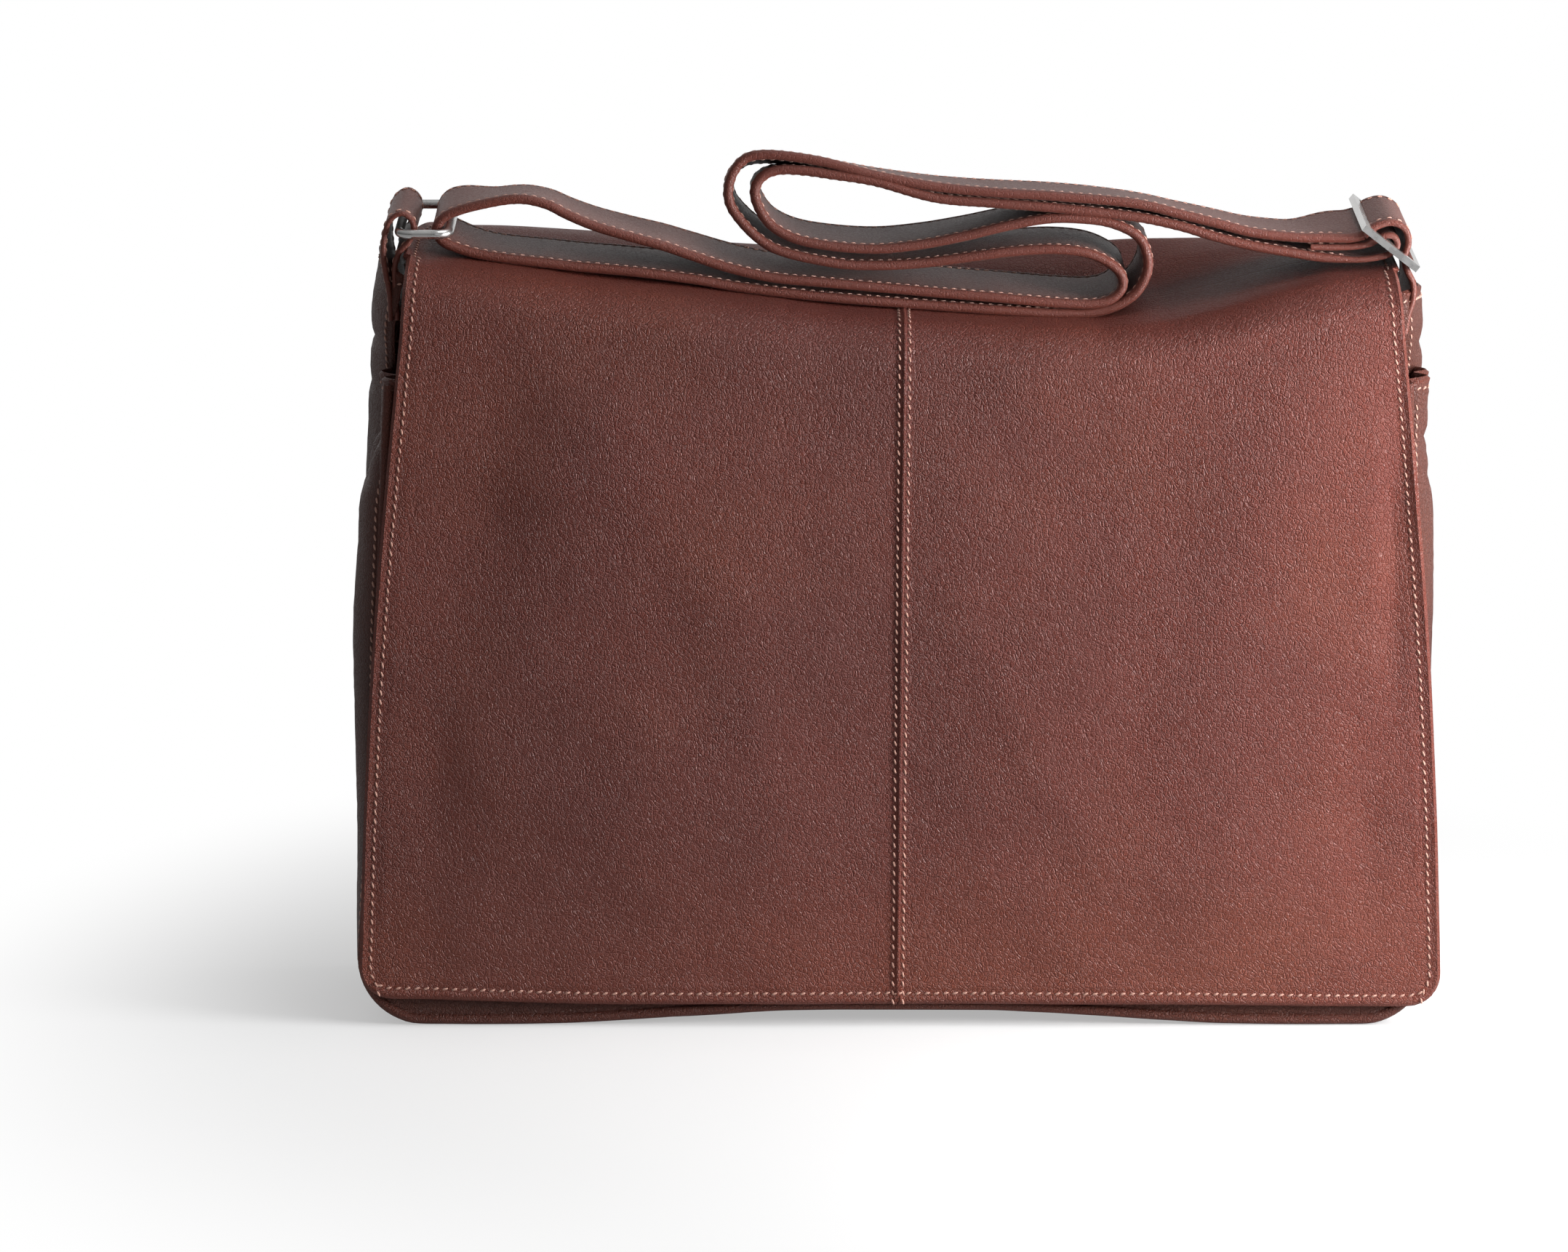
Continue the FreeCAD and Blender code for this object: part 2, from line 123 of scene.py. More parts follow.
def sheetPiece(name, grid, thick, material, outward=1, proud=None, hem=None):
    # a grid of points made into a closed sheet with round edges. proud lifts the outer face.
    rows, cols = grid.shape[:2]
    normal = gridNormals(grid) * outward
    proud = np.zeros((rows, cols)) if proud is None else proud
    outer = grid + normal * (thick / 2 + proud)[..., None]
    inner = grid - normal * thick / 2
    verts = list(outer.reshape(-1, 3)) + list(inner.reshape(-1, 3))
    count = rows * cols
    faces = []
    for i in range(rows - 1):
        for j in range(cols - 1):
            a, b = i * cols + j, i * cols + j + 1
            c, d = a + cols, b + cols
            ring = (a, c, d, b) if outward > 0 else (a, b, d, c)
            faces += [ring, tuple(count + k for k in reversed(ring))]
    loop = [(0, j) for j in range(cols)] + [(i, cols - 1) for i in range(1, rows)]
    loop += [(rows - 1, j) for j in range(cols - 2, -1, -1)] + [(i, 0) for i in range(rows - 2, 0, -1)]
    for i, j in loop:
        out = grid[i, j] - grid[min(max(i, 1), rows - 2), min(max(j, 1), cols - 2)]
        out = out / max(norm(out), 1e-9)
        reach = edgeRound * norm(outer[i, j] - inner[i, j])
        verts.append((outer[i, j] + inner[i, j]) / 2 + out * reach)
    for k, (i, j) in enumerate(loop):
        m, n = loop[(k + 1) % len(loop)]
        a, b = i * cols + j, m * cols + n
        r, s = 2 * count + k, 2 * count + (k + 1) % len(loop)
        first, second = (a, b, s, r), (r, s, count + b, count + a)
        faces += [first, second] if outward > 0 else [first[::-1], second[::-1]]
    edgeMask = None if hem is None else list(hem.reshape(-1)) + [0] * count + [1] * len(loop)
    return addMesh(name, verts, faces, material, edgeMask)


def tubeFaces(rings, count):
    # the skin over a row of rings, closed at both ends
    faces = []
    for i in range(rings - 1):
        for k in range(count):
            a, b = i * count + k, i * count + (k + 1) % count
            faces.append((a, b, b + count, a + count))
    last = (rings - 1) * count
    return faces + [tuple(range(count)), tuple(range(last, last + count))[::-1]]


def settle(obj, across=None, stands=()):
    # rides on the bag's body; when across (bodyA, bodyB, start, end) is given, it is baked in place and does
    # not blend
    if across:
        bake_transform(obj)
    else:
        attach(obj, "bag")
    if stands:
        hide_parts(*stands)


def newGroup(name, inputs, outputs, kind="ShaderNodeTree"):
    tree = bpy.data.node_groups.new(name, kind)
    for label, socketKind, value in inputs:
        socket = tree.interface.new_socket(label, in_out="INPUT", socket_type="NodeSocket" + socketKind)
        if value is not None:
            socket.default_value = value
    for label, socketKind in outputs:
        tree.interface.new_socket(label, in_out="OUTPUT", socket_type="NodeSocket" + socketKind)
    return tree, tree.nodes.new("NodeGroupInput").outputs, tree.nodes.new("NodeGroupOutput")


def feed(tree, node, links):
    # links are (input name or index, source socket or value)
    for where, what in links:
        if isinstance(what, bpy.types.NodeSocket):
            tree.links.new(what, node.inputs[where])
        else:
            node.inputs[where].default_value = what


def addNode(tree, kind, links=(), **values):
    node = tree.nodes.new(kind)
    for key, value in values.items():
        setattr(node, key, value)
    feed(tree, node, links)
    return node


def outOf(tree, kind, links=(), **values):
    return addNode(tree, kind, links, **values).outputs[0]


def mathNode(tree, operation, a, b=0.0, c=0.0, clamp=False):
    links = [(0, a), (1, b), (2, c)]
    return outOf(tree, "ShaderNodeMath", links, operation=operation, use_clamp=clamp)


def vectorNode(tree, operation, *values):
    return addNode(tree, "ShaderNodeVectorMath", list(enumerate(values)), operation=operation)


def ramp(tree, value, low, high, toLow=0.0, toHigh=1.0):
    links = [("Value", value), ("From Min", low), ("From Max", high), ("To Min", toLow), ("To Max", toHigh)]
    return outOf(tree, "ShaderNodeMapRange", links, interpolation_type="SMOOTHSTEP")


def mixColor(tree, share, a, b):
    return addNode(tree, "ShaderNodeMix", [(0, share), (6, a), (7, b)], data_type="RGBA").outputs[2]


def noiseTexture(tree, place, scale, detail=2.0, more=(), output="Fac"):
    links = [("Vector", place), ("Scale", scale), ("Detail", detail), *more]
    return addNode(tree, "ShaderNodeTexNoise", links).outputs[output]


def addBump(tree, shader, height, strength, distance):
    links = [("Strength", strength), ("Distance", distance), ("Height", height)]
    feed(tree, shader, [("Normal", outOf(tree, "ShaderNodeBump", links))])


def makeGrainGroup():
    # pebbled leather: soft cells with creases between them, and longer wrinkles across
    tree, given, result = newGroup("leatherGrain", [
        ("Vector", "Vector", None), ("Cell", "Float", 700.0),
        ("Wrinkle", "Float", 0.5), ("Stretch", "Vector", (1.0, 1.0, 1.0)),
    ], [("Height", "Float"), ("Crease", "Float")])
    pulled = vectorNode(tree, "MULTIPLY", given["Vector"], given["Stretch"]).outputs[0]
    drift = noiseTexture(tree, pulled, 220.0, output="Color")
    shift = vectorNode(tree, "MULTIPLY", drift, (0.0009, 0.0009, 0.0009)).outputs[0]
    place = vectorNode(tree, "ADD", pulled, shift).outputs[0]
    small = mathNode(tree, "MULTIPLY", given["Cell"], 2.3)
    layers = []
    for scale, width in ((given["Cell"], 0.15), (small, 0.2)):
        cells = addNode(tree, "ShaderNodeTexVoronoi", [("Vector", place), ("Scale", scale)],
                        feature="DISTANCE_TO_EDGE")
        layers.append(ramp(tree, cells.outputs["Distance"], 0.0, width))
    pebble, grit = layers
    slackWay = outOf(tree, "ShaderNodeMapping", [("Vector", place), ("Rotation", (0.0, 0.6, 0.0)),
                                                 ("Scale", (60.0, 60.0, 260.0))])
    fold = noiseTexture(tree, slackWay, 1.0, 3.0, [("Distortion", 0.6)])
    wrinkle = mathNode(tree, "MULTIPLY", ramp(tree, fold, 0.42, 0.62), given["Wrinkle"])
    height = mathNode(tree, "MULTIPLY_ADD", pebble, 0.6, mathNode(tree, "MULTIPLY", grit, 0.25))
    height = mathNode(tree, "ADD", height, wrinkle)
    crease = mathNode(tree, "SUBTRACT", 1.0, mathNode(tree, "MULTIPLY", pebble, grit), clamp=True)
    feed(tree, result, [("Height", height), ("Crease", crease)])
    return tree


def makeMottleGroup():
    # broad soft patches between three colours, as in pull-up leather, and painted light: warmer and lighter
    # towards the base, for the brighter lower part
    tree, given, result = newGroup("leatherMottle", [
        ("Vector", "Vector", None), ("Scale", "Float", 6.0),
        ("Main", "Color", (0.2, 0.07, 0.05, 1)), ("Dark", "Color", (0.1, 0.04, 0.03, 1)),
        ("Warm", "Color", (0.3, 0.1, 0.05, 1)), ("LitBaseTop", "Float", 0.09),
    ], [("Color", "Color")])
    place = given["Vector"]
    cloud = noiseTexture(tree, place, given["Scale"], 3.0)
    dark = mathNode(tree, "MULTIPLY", ramp(tree, cloud, 0.60, 0.34), 0.7)
    first = mixColor(tree, dark, given["Main"], given["Dark"])
    double = mathNode(tree, "MULTIPLY", given["Scale"], 2.3)
    patch = noiseTexture(tree, place, double, 4.0, [("Roughness", 0.55)])
    # painted light: below a set height the colour is pushed towards the warm, lighter colour
    low = ramp(tree, addNode(tree, "ShaderNodeSeparateXYZ", [(0, place)]).outputs["Z"], given["LitBaseTop"], 0.0)
    share = mathNode(tree, "ADD", mathNode(tree, "MULTIPLY", ramp(tree, patch, 0.42, 0.74), 0.6),
                     mathNode(tree, "MULTIPLY", low, 0.55), clamp=True)
    second = mixColor(tree, mathNode(tree, "MULTIPLY", share, 0.75), first, given["Warm"])
    fleck = noiseTexture(tree, place, 320.0)
    third = mixColor(tree, ramp(tree, fleck, 0.55, 0.75, 0.0, 0.22), second, given["Dark"])
    feed(tree, result, [("Color", third)])
    return tree


def makeBrushGroup():
    # fine scratches along one way, for brushed plate
    tree, given, result = newGroup("brushedPlate", [
        ("Vector", "Vector", None), ("Along", "Vector", (1.0, 1.0, 1.0)),
    ], [("Rough", "Float"), ("Height", "Float"), ("Tint", "Float")])
    place = vectorNode(tree, "MULTIPLY", given["Vector"], given["Along"]).outputs[0]
    lines = noiseTexture(tree, place, 260.0)
    stain = noiseTexture(tree, given["Vector"], 60.0)
    rough = ramp(tree, lines, 0.3, 0.7, 0.24, 0.33)
    feed(tree, result, [("Rough", rough), ("Height", lines), ("Tint", stain)])
    return tree


def makeWeaveGroup():
    tree, given, result = newGroup("plainWeave", [
        ("Vector", "Vector", None), ("Threads", "Float", 1600.0),
    ], [("Height", "Float")])
    bands = [addNode(tree, "ShaderNodeTexWave", [("Vector", given["Vector"]), ("Scale", given["Threads"])],
                     bands_direction=direction).outputs["Fac"] for direction in ("X", "Z")]
    feed(tree, result, [("Height", mathNode(tree, "MAXIMUM", *bands))])
    return tree


groups = {"grain": makeGrainGroup(), "mottle": makeMottleGroup(), "brush": makeBrushGroup(),
          "weave": makeWeaveGroup()}


def newMaterial(name):
    material = bpy.data.materials.new(name)
    material.use_nodes = True
    tree = material.node_tree
    place = tree.nodes.new("ShaderNodeTexCoord").outputs["Object"]
    return material, tree, tree.nodes["Principled BSDF"], place


def useGroup(tree, group, **values):
    node = tree.nodes.new("ShaderNodeGroup")
    node.node_tree = groups[group]
    feed(tree, node, values.items())
    return node.outputs


def leatherMaterial(name, look):
    material, tree, shader, place = newMaterial(name)
    main, dark, warm, rolled = (look[key] + (1,) for key in ("main", "dark", "warm", "rolled"))
    grain = useGroup(tree, "grain", Vector=place, Cell=look["cell"], Wrinkle=look["wrinkle"],
                     Stretch=look["stretch"])
    tone = useGroup(tree, "mottle", Vector=place, Scale=look["cloud"], Main=main, Dark=dark, Warm=warm)
    # painted shade: the colour is pulled towards the dark colour in the creases between the pebbles
    color = mixColor(tree, mathNode(tree, "MULTIPLY", grain["Crease"], look["crease"]), tone["Color"], dark)
    hem = addNode(tree, "ShaderNodeAttribute", attribute_name="hem").outputs["Fac"]
    color = mixColor(tree, mathNode(tree, "MULTIPLY", hem, look["edge"]), color, rolled)
    rough = ramp(tree, grain["Crease"], 0.0, 1.0, look["rough"], look["rough"] + look["creaseRough"])
    addBump(tree, shader, grain["Height"], look["bump"], look["relief"])
    feed(tree, shader, [("Base Color", color), ("Roughness", rough), ("Specular IOR Level", look["gloss"]),
                        ("Sheen Weight", look["sheen"]), ("Sheen Roughness", 0.4),
                        ("Sheen Tint", (1.0, 0.9, 0.86, 1))])
    return material


# looks of each leather, colours in linear light; crease is the share of painted shade in the grain's creases
flapLook = {"cell": 640.0, "wrinkle": 0.16, "stretch": (1.0, 1.0, 0.85), "cloud": 4.6,
            "main": (0.142, 0.025, 0.0145), "dark": (0.094, 0.018, 0.012), "warm": (0.195, 0.044, 0.020),
            "crease": 0.45, "edge": 0.5, "rolled": (0.125, 0.025, 0.014), "rough": 0.38, "creaseRough": 0.18,
            "bump": 0.62, "relief": 0.0008, "gloss": 0.44, "sheen": 0.0}
bodyLook = dict(flapLook, main=(0.088, 0.024, 0.016), dark=(0.045, 0.015, 0.011), warm=(0.125, 0.036, 0.021),
                wrinkle=0.18, gloss=0.35)
# painted sheen: the strap is the flap's leather, given lighter and greyer colours for the sheen on its top
# faces
strapLook = dict(flapLook, cell=760.0, wrinkle=0.15, stretch=(0.7, 1.0, 1.0), bump=0.32, rough=0.36,
                 main=(0.135, 0.036, 0.024), dark=(0.085, 0.025, 0.018), warm=(0.180, 0.050, 0.030),
                 rolled=(0.150, 0.030, 0.018), sheen=0.05, crease=0.25, gloss=0.5)


def threadMaterial():
    material, tree, shader, place = newMaterial("thread")
    twist = noiseTexture(tree, place, 1800.0, 1.0)
    color = mixColor(tree, twist, (0.37, 0.165, 0.12, 1), (0.56, 0.33, 0.26, 1))
    addBump(tree, shader, twist, 0.4, 0.0002)
    feed(tree, shader, [("Base Color", color), ("Roughness", 0.7), ("Sheen Weight", 0.3)])
    return material


def metalMaterial(name, color, along):
    material, tree, shader, place = newMaterial(name)
    brush = useGroup(tree, "brush", Vector=place, Along=along)
    mixed = mixColor(tree, brush["Tint"], tuple(v * 0.9 for v in color) + (1,), color + (1,))
    addBump(tree, shader, brush["Height"], 0.015, 0.0001)
    feed(tree, shader, [("Base Color", mixed), ("Roughness", brush["Rough"]), ("Metallic", 1.0)])
    return material


def fabricMaterial(name, color, threads):
    material, tree, shader, place = newMaterial(name)
    weave = useGroup(tree, "weave", Vector=place, Threads=threads)["Height"]
    cloud = noiseTexture(tree, place, 40.0, 4.0)
    base = mixColor(tree, mathNode(tree, "MULTIPLY", cloud, weave), tuple(v * 0.55 for v in color) + (1,),
                    color + (1,))
    addBump(tree, shader, weave, 0.5, 0.0002)
    feed(tree, shader, [("Base Color", base), ("Roughness", 0.85), ("Sheen Weight", 0.25)])
    return material


leathers = {key: leatherMaterial(key + "Leather", look)
            for key, look in (("flap", flapLook), ("body", bodyLook), ("strap", strapLook))}
thread = threadMaterial()
nickel = metalMaterial("brushedNickel", (0.80, 0.79, 0.78), (1.0, 0.12, 1.0))
snapNickel = metalMaterial("snapNickel", (0.55, 0.54, 0.53), (1.0, 1.0, 1.0))
liningCloth = fabricMaterial("liningCloth", (0.075, 0.055, 0.048), 1500.0)
boardSkin = fabricMaterial("boardSkin", (0.05, 0.05, 0.05), 900.0)
print("materials built")


def makeStitchTree():
    # lays short slanted stitches along a line whose points carry the surface's normal
    tree, given, result = newGroup("stitchRow", [
        ("Geometry", "Geometry", None), ("Pitch", "Float", 0.0035),
        ("Length", "Float", 0.0026), ("Thick", "Float", 0.0009),
        ("Slant", "Float", 0.34), ("Seed", "Int", 3),
        ("Material", "Material", None),
    ], [("Geometry", "Geometry")], "GeometryNodeTree")
    curve = outOf(tree, "GeometryNodeMeshToCurve", [("Mesh", given["Geometry"])])
    even = outOf(tree, "GeometryNodeResampleCurve", [("Curve", curve), ("Length", given["Pitch"])],
                   mode="LENGTH")
    up = addNode(tree, "GeometryNodeInputNamedAttribute", [("Name", "up")], data_type="FLOAT_VECTOR")
    along = outOf(tree, "GeometryNodeInputTangent")
    aligned = outOf(tree, "FunctionNodeAlignRotationToVector", [("Vector", along)], axis="X")
    turned = outOf(tree, "FunctionNodeAlignRotationToVector", [
        ("Rotation", aligned), ("Vector", up.outputs["Attribute"])], axis="Z", pivot_axis="X")
    sway = addNode(tree, "FunctionNodeRandomValue", [("Seed", given["Seed"])], data_type="FLOAT")
    swing = mathNode(tree, "MULTIPLY_ADD", sway.outputs[1], 0.16, -0.08)
    slant = mathNode(tree, "ADD", swing, given["Slant"])
    lean = outOf(tree, "ShaderNodeCombineXYZ", [("Z", slant)])
    tilt = outOf(tree, "FunctionNodeRotateRotation", [
        ("Rotation", turned), ("Rotate By", lean)], rotation_space="LOCAL")
    bead = outOf(tree, "GeometryNodeMeshUVSphere", [("Segments", 6), ("Rings", 5), ("Radius", 0.5)])
    size = outOf(tree, "ShaderNodeCombineXYZ", [("X", given["Length"]), ("Y", given["Thick"]),
                                                  ("Z", given["Thick"])])
    shaped = outOf(tree, "GeometryNodeTransform", [("Geometry", bead), ("Scale", size)])
    placed = outOf(tree, "GeometryNodeInstanceOnPoints", [
        ("Points", even), ("Instance", shaped), ("Rotation", tilt)])
    real = outOf(tree, "GeometryNodeRealizeInstances", [("Geometry", placed)])
    shade = outOf(tree, "GeometryNodeSetShadeSmooth", [("Geometry", real)])
    coated = outOf(tree, "GeometryNodeSetMaterial", [("Geometry", shade),
                                                       ("Material", given["Material"])])
    feed(tree, result, [(0, coated)])
    return tree


stitchTree = makeStitchTree()


def stitchPiece(name, rows):
    # rows are (points, normals) pairs; gives one plain mesh of thread
    verts, ups, edges = [], [], []
    for points, normals in rows:
        first = len(verts)
        verts += [tuple(p) for p in points]
        ups += [tuple(n) for n in normals]
        edges += [(first + k, first + k + 1) for k in range(len(points) - 1)]
    mesh = bpy.data.meshes.new(name + "Line")
    mesh.from_pydata(verts, edges, [])
    layer = mesh.attributes.new("up", "FLOAT_VECTOR", "POINT")
    layer.data.foreach_set("vector", np.array(ups, np.float32).ravel())
    line = addObject(name + "Line", mesh)
    modifier = line.modifiers.new("stitches", "NODES")
    modifier.node_group = stitchTree
    for item in stitchTree.interface.items_tree:
        if item.name == "Material":
            modifier[item.identifier] = thread
    made = bpy.data.meshes.new_from_object(line.evaluated_get(bpy.context.evaluated_depsgraph_get()))
    bpy.data.objects.remove(line)
    if not made.materials:
        made.materials.append(thread)
    return addObject(name, made)


def threadRow(surface, normal, distance, wanted, lift=threadLift):
    # in each row of a grid, the point at a wanted distance from an edge
    points, ups = [], []
    for spots, sides, far in zip(surface, normal, distance):
        order = np.argsort(far)
        points.append([np.interp(wanted, far[order], spots[order, k]) for k in range(3)])
        ups.append([np.interp(wanted, far[order], sides[order, k]) for k in range(3)])
    return np.array(points) + np.array(ups) * lift, np.array(ups)


def turnGrid(*grids):
    return [np.swapaxes(grid, 0, 1) for grid in grids]


flap = {
    "bottomZ": 0.0102, "corner": 0.0115, "halfTop": (0.1812, 0.1862), "halfBottom": (0.1998, 0.2050),
    "bow": 0.0030, "frontY": -0.0490, "backY": 0.0492, "topZ": 0.262, "thick": 0.0016, "hemInset": 0.0030,
    "seamInset": 0.0019, "splitY": -0.004, "seamX": (0.0018, 0.0034), "seamHalf": 0.0006,
    "threadLift": 0.00012, "step": 0.0016, "rowsTop": 50, "rowsFront": 190,
}
acrossBack = ("bag", "flap_top", (0.0, 0.0492, 0.2675), (0.0, 0.0330, 0.2830))
acrossFront = ("flap_top", "flap_front", (0.0, -0.0290, 0.2700), (0.0, -0.0492, 0.2440))

# height of the roof under the strap: it sags in the middle and is pulled up at both ends
roofLine = (
    (-0.190, -0.160, -0.116, -0.070, -0.030, 0.0, 0.040, 0.075, 0.100, 0.120, 0.140, 0.160, 0.190),
    (0.2900, 0.2865, 0.2800, 0.2745, 0.2700, 0.2675, 0.2650, 0.2642, 0.2672, 0.2715, 0.2768, 0.2810, 0.2838))

# soft hollows and swellings of the flap: x, z, half sizes, lean, height
slack = [
    (-0.112, 0.222, 0.036, 0.030, 0.5, 0.00240), (-0.150, 0.196, 0.016, 0.050, 0.1, -0.00204),
    (-0.070, 0.235, 0.035, 0.018, -0.3, -0.00144), (0.140, 0.214, 0.026, 0.036, 0.4, 0.00264),
    (0.186, 0.185, 0.006, 0.060, 0.0, -0.00204), (0.060, 0.205, 0.040, 0.050, -0.6, -0.00132),
    (0.045, 0.120, 0.012, 0.060, -0.5, 0.00084), (-0.090, 0.085, 0.060, 0.030, 0.2, 0.00168),
    (0.128, 0.056, 0.034, 0.024, -0.2, 0.00216), (-0.172, 0.110, 0.012, 0.060, 0.05, -0.00132),
    (0.176, 0.090, 0.010, 0.050, 0.0, -0.00132), (-0.010, 0.160, 0.050, 0.050, 0.3, 0.00108),
    (0.096, 0.140, 0.022, 0.050, 0.5, -0.00108), (-0.060, 0.150, 0.018, 0.060, -0.4, 0.00084),
]


def quarter(y, z, depth, height, first, last):
    # points of a quarter of an oval about (y, z)
    turn = np.radians(np.linspace(first, last, 6))
    return list(zip(y + depth * np.cos(turn), z + height * np.sin(turn)))


def flapProfile(x):
    # the flap's middle surface at one x, from the back panel over the roof to the bottom edge
    front = np.interp(x, *roofLine)
    back = 0.2862 + 0.0075 * smooth((-0.04 - x) / 0.12) + 0.0030 * smooth((x - 0.05) / 0.06)
    backY, frontY = flap["backY"], flap["frontY"]
    shelf = front + 0.0064
    points = [(backY, 0.2560), (backY + 0.0004, 0.2640)]
    points += quarter(backY - 0.014, back - 0.0142, 0.0142, 0.0138, 12, 78)
    points += [(0.026, (shelf + back) / 2 + 0.001), (0.013, shelf), (-0.008, front + 0.00304),
               (-0.0255, front + 0.0005)]
    points += quarter(frontY + 0.0190, front - 0.0165, -0.0190, 0.0160, 70, 12)
    points += [(frontY, 0.2420 + (front - 0.2700) * 0.4), (frontY, 0.2200), (frontY, 0.1400),
               (frontY, 0.0600), (frontY, flap["bottomZ"])]
    line = curveThrough([(0.0, y, z) for y, z in points], 0.0008)[:, 1:]
    split = int(np.argmin(np.abs(line[:, 0] - flap["splitY"]) + (line[:, 1] < 0.25)))
    top = resample(evenly(line[:split + 1], flap["step"]), flap["rowsTop"])
    return np.vstack([top, resample(evenly(line[split:], flap["step"]), flap["rowsFront"])[1:]])


def flapHalf(k, z):
    # half width of the front of the flap at a height, a little bowed outwards
    share = np.clip((z - flap["bottomZ"]) / (flap["topZ"] - flap["bottomZ"]), 0, 1.1)
    half = flap["halfBottom"][k] + (flap["halfTop"][k] - flap["halfBottom"][k]) * share
    return half + flap["bow"] * np.sin(np.pi * np.clip(share, 0, 1))


def flapGrid(side):
    # a grid over one whole half of the flap: rows run from the back to the bottom edge
    k = 0 if side < 0 else 1
    shares = np.r_[0, 0.0022, 0.0034, 0.0046, np.linspace(0.009, 1, 70)]
    grid = np.zeros((flap["rowsTop"] + flap["rowsFront"] - 1, len(shares), 3))
    for j, share in enumerate(shares):
        profile = flapProfile(side * (flap["seamHalf"] + share * (flap["halfTop"][k] - flap["seamHalf"])))
        grid[:, j, 1:] = profile
        y, z = profile.T
        half = np.where(y < -0.030, flapHalf(k, z), flap["halfTop"][k]) - 0.010 * smooth(y / 0.045)
        start = np.interp(z, (flap["bottomZ"], flap["topZ"]), flap["seamX"]) + side * flap["seamHalf"]
        grid[:, j, 0] = start + share * (side * half - start)
    roundCorner(grid, side, k)
    shapeFlap(grid)
    return grid


def roundCorner(grid, side, k):
    # the bottom outer corner is drawn in to an arc
    cx, cz = flap["halfBottom"][k] - flap["corner"], flap["bottomZ"] + flap["corner"]
    x, z = np.abs(grid[..., 0]), grid[..., 2]
    inCorner = (x > cx) & (z < cz) & (grid[..., 1] < -0.03)
    dx, dz = x - cx, cz - z
    reach = np.hypot(dx, dz)
    far = np.maximum(np.abs(dx), np.abs(dz))
    scale = np.where(inCorner & (reach > 1e-9), far / np.maximum(reach, 1e-9), 1.0)
    grid[..., 0] = np.where(inCorner, side * (cx + dx * scale), grid[..., 0])
    grid[..., 2] = np.where(inCorner, cz - dz * scale, z)


def shapeFlap(grid):
    # broad slack in the front, and the pull of the hem
    x, z = grid[..., 0].copy(), grid[..., 2].copy()
    front = smooth((-0.040 - grid[..., 1]) / 0.008)
    rest = smooth((z - flap["bottomZ"]) / 0.05)
    slow = wobble(grid, 0.085, 2, (1.0, 0.2, 0.8))
    mid = wobble(grid, 0.032, 5, (1.0, 0.2, 1.2))
    fine = wobble(grid, 0.013, 8, (1.0, 0.2, 1.6))
    belly = np.sin(np.pi * np.clip(np.abs(x) / 0.195, 0, 1)) * np.sin(np.pi * np.clip(z / flap["topZ"], 0, 1))
    swell = 0.0014 * belly + 0.0019 * (0.4 + 0.6 * rest) * slow + 0.0008 * mid + 0.00016 * fine
    for cx, cz, rx, rz, lean, height in slack:
        dx = x - cx - lean * (z - cz)
        swell += height * np.exp(-(dx / rx) ** 2 - ((z - cz) / rz) ** 2)
    grid[..., 1] -= front * np.clip(swell, -0.0022, 0.0058)
    roof = (1 - front) * smooth((0.047 - grid[..., 1]) / 0.01)
    grid[..., 2] += roof * (0.0010 * slow + 0.0005 * mid)
    lift = 0.0021 * smooth((np.abs(x) - 0.10) / 0.09)
    grid[..., 2] += front * (1 - rest) * np.where(x < 0, lift, -lift * 0.4)


def edgeDistances(grid):
    # how far each point is from the seam, the outer edge and the bottom edge
    x = grid[..., 0]
    outer = np.abs(x[:, -1:]) - np.abs(x)
    seam = np.abs(x - x[:, :1]) + flap["seamHalf"]
    steps = norm(np.diff(grid, axis=0), axis=2)
    bottom = np.vstack([np.cumsum(steps[::-1], axis=0)[::-1], np.zeros(grid.shape[1])])
    return seam, outer, bottom


def hemProud(distance, inset):
    # a turned hem: a soft roll, a groove at the thread, then flat
    roll = 0.00075 * (1 - smooth((distance - 0.0012) / (inset - 0.0012)))
    groove = -0.00030 * np.exp(-((distance - inset) / 0.0007) ** 2)
    ease = 0.00030 * np.exp(-((distance - inset - 0.0024) / 0.0016) ** 2)
    return roll + groove + ease


def hemMask(distance):
    return 1 - smooth((distance - 0.0008) / 0.0020)


def makeFlap():
    cut = flap["rowsTop"] - 1
    spans = {"Top": slice(0, cut + 1), "Front": slice(cut, None)}
    across = {"Top": acrossBack, "Front": acrossFront}
    grids = {side: flapGrid(side) for side in (-1, 1)}
    threads = {"Top": [], "Front": []}
    for side, label in ((-1, "Left"), (1, "Right")):
        grid = grids[side]
        seam, outer, bottom = edgeDistances(grid)
        near = np.minimum(outer, bottom)
        proud = hemProud(near, flap["hemInset"]) + 0.6 * hemProud(seam, flap["seamInset"])
        normal = gridNormals(grid) * side
        surface = grid + normal * (flap["thick"] / 2 + proud)[..., None]
        for part, cad in (("Top", "flap_roof_"), ("Front", "flap_front_")):
            span = spans[part]
            piece = sheetPiece("flap" + part + label, grid[span], flap["thick"], leathers["flap"], side,
                               proud[span], hemMask(near)[span])
            settle(piece, across[part], [cad + label.lower()])
            sewn = slice(3, cut + 1) if part == "Top" else span
            for distance, inset in ((outer, flap["hemInset"]), (seam, flap["seamInset"])):
                threads[part].append(threadRow(surface[sewn], normal[sewn], distance[sewn], inset,
                                               flap["threadLift"]))
        inside = outer[-1] >= flap["hemInset"]
        low = turnGrid(surface[:, inside], normal[:, inside], bottom[:, inside])
        threads["Front"].append(threadRow(*low, flap["hemInset"], flap["threadLift"]))
    for part, rows in threads.items():
        settle(stitchPiece("flap" + part + "Thread", rows), across[part])
    makeWelt(grids[1], spans, across)
    makeFlapLining(grids, spans, across)


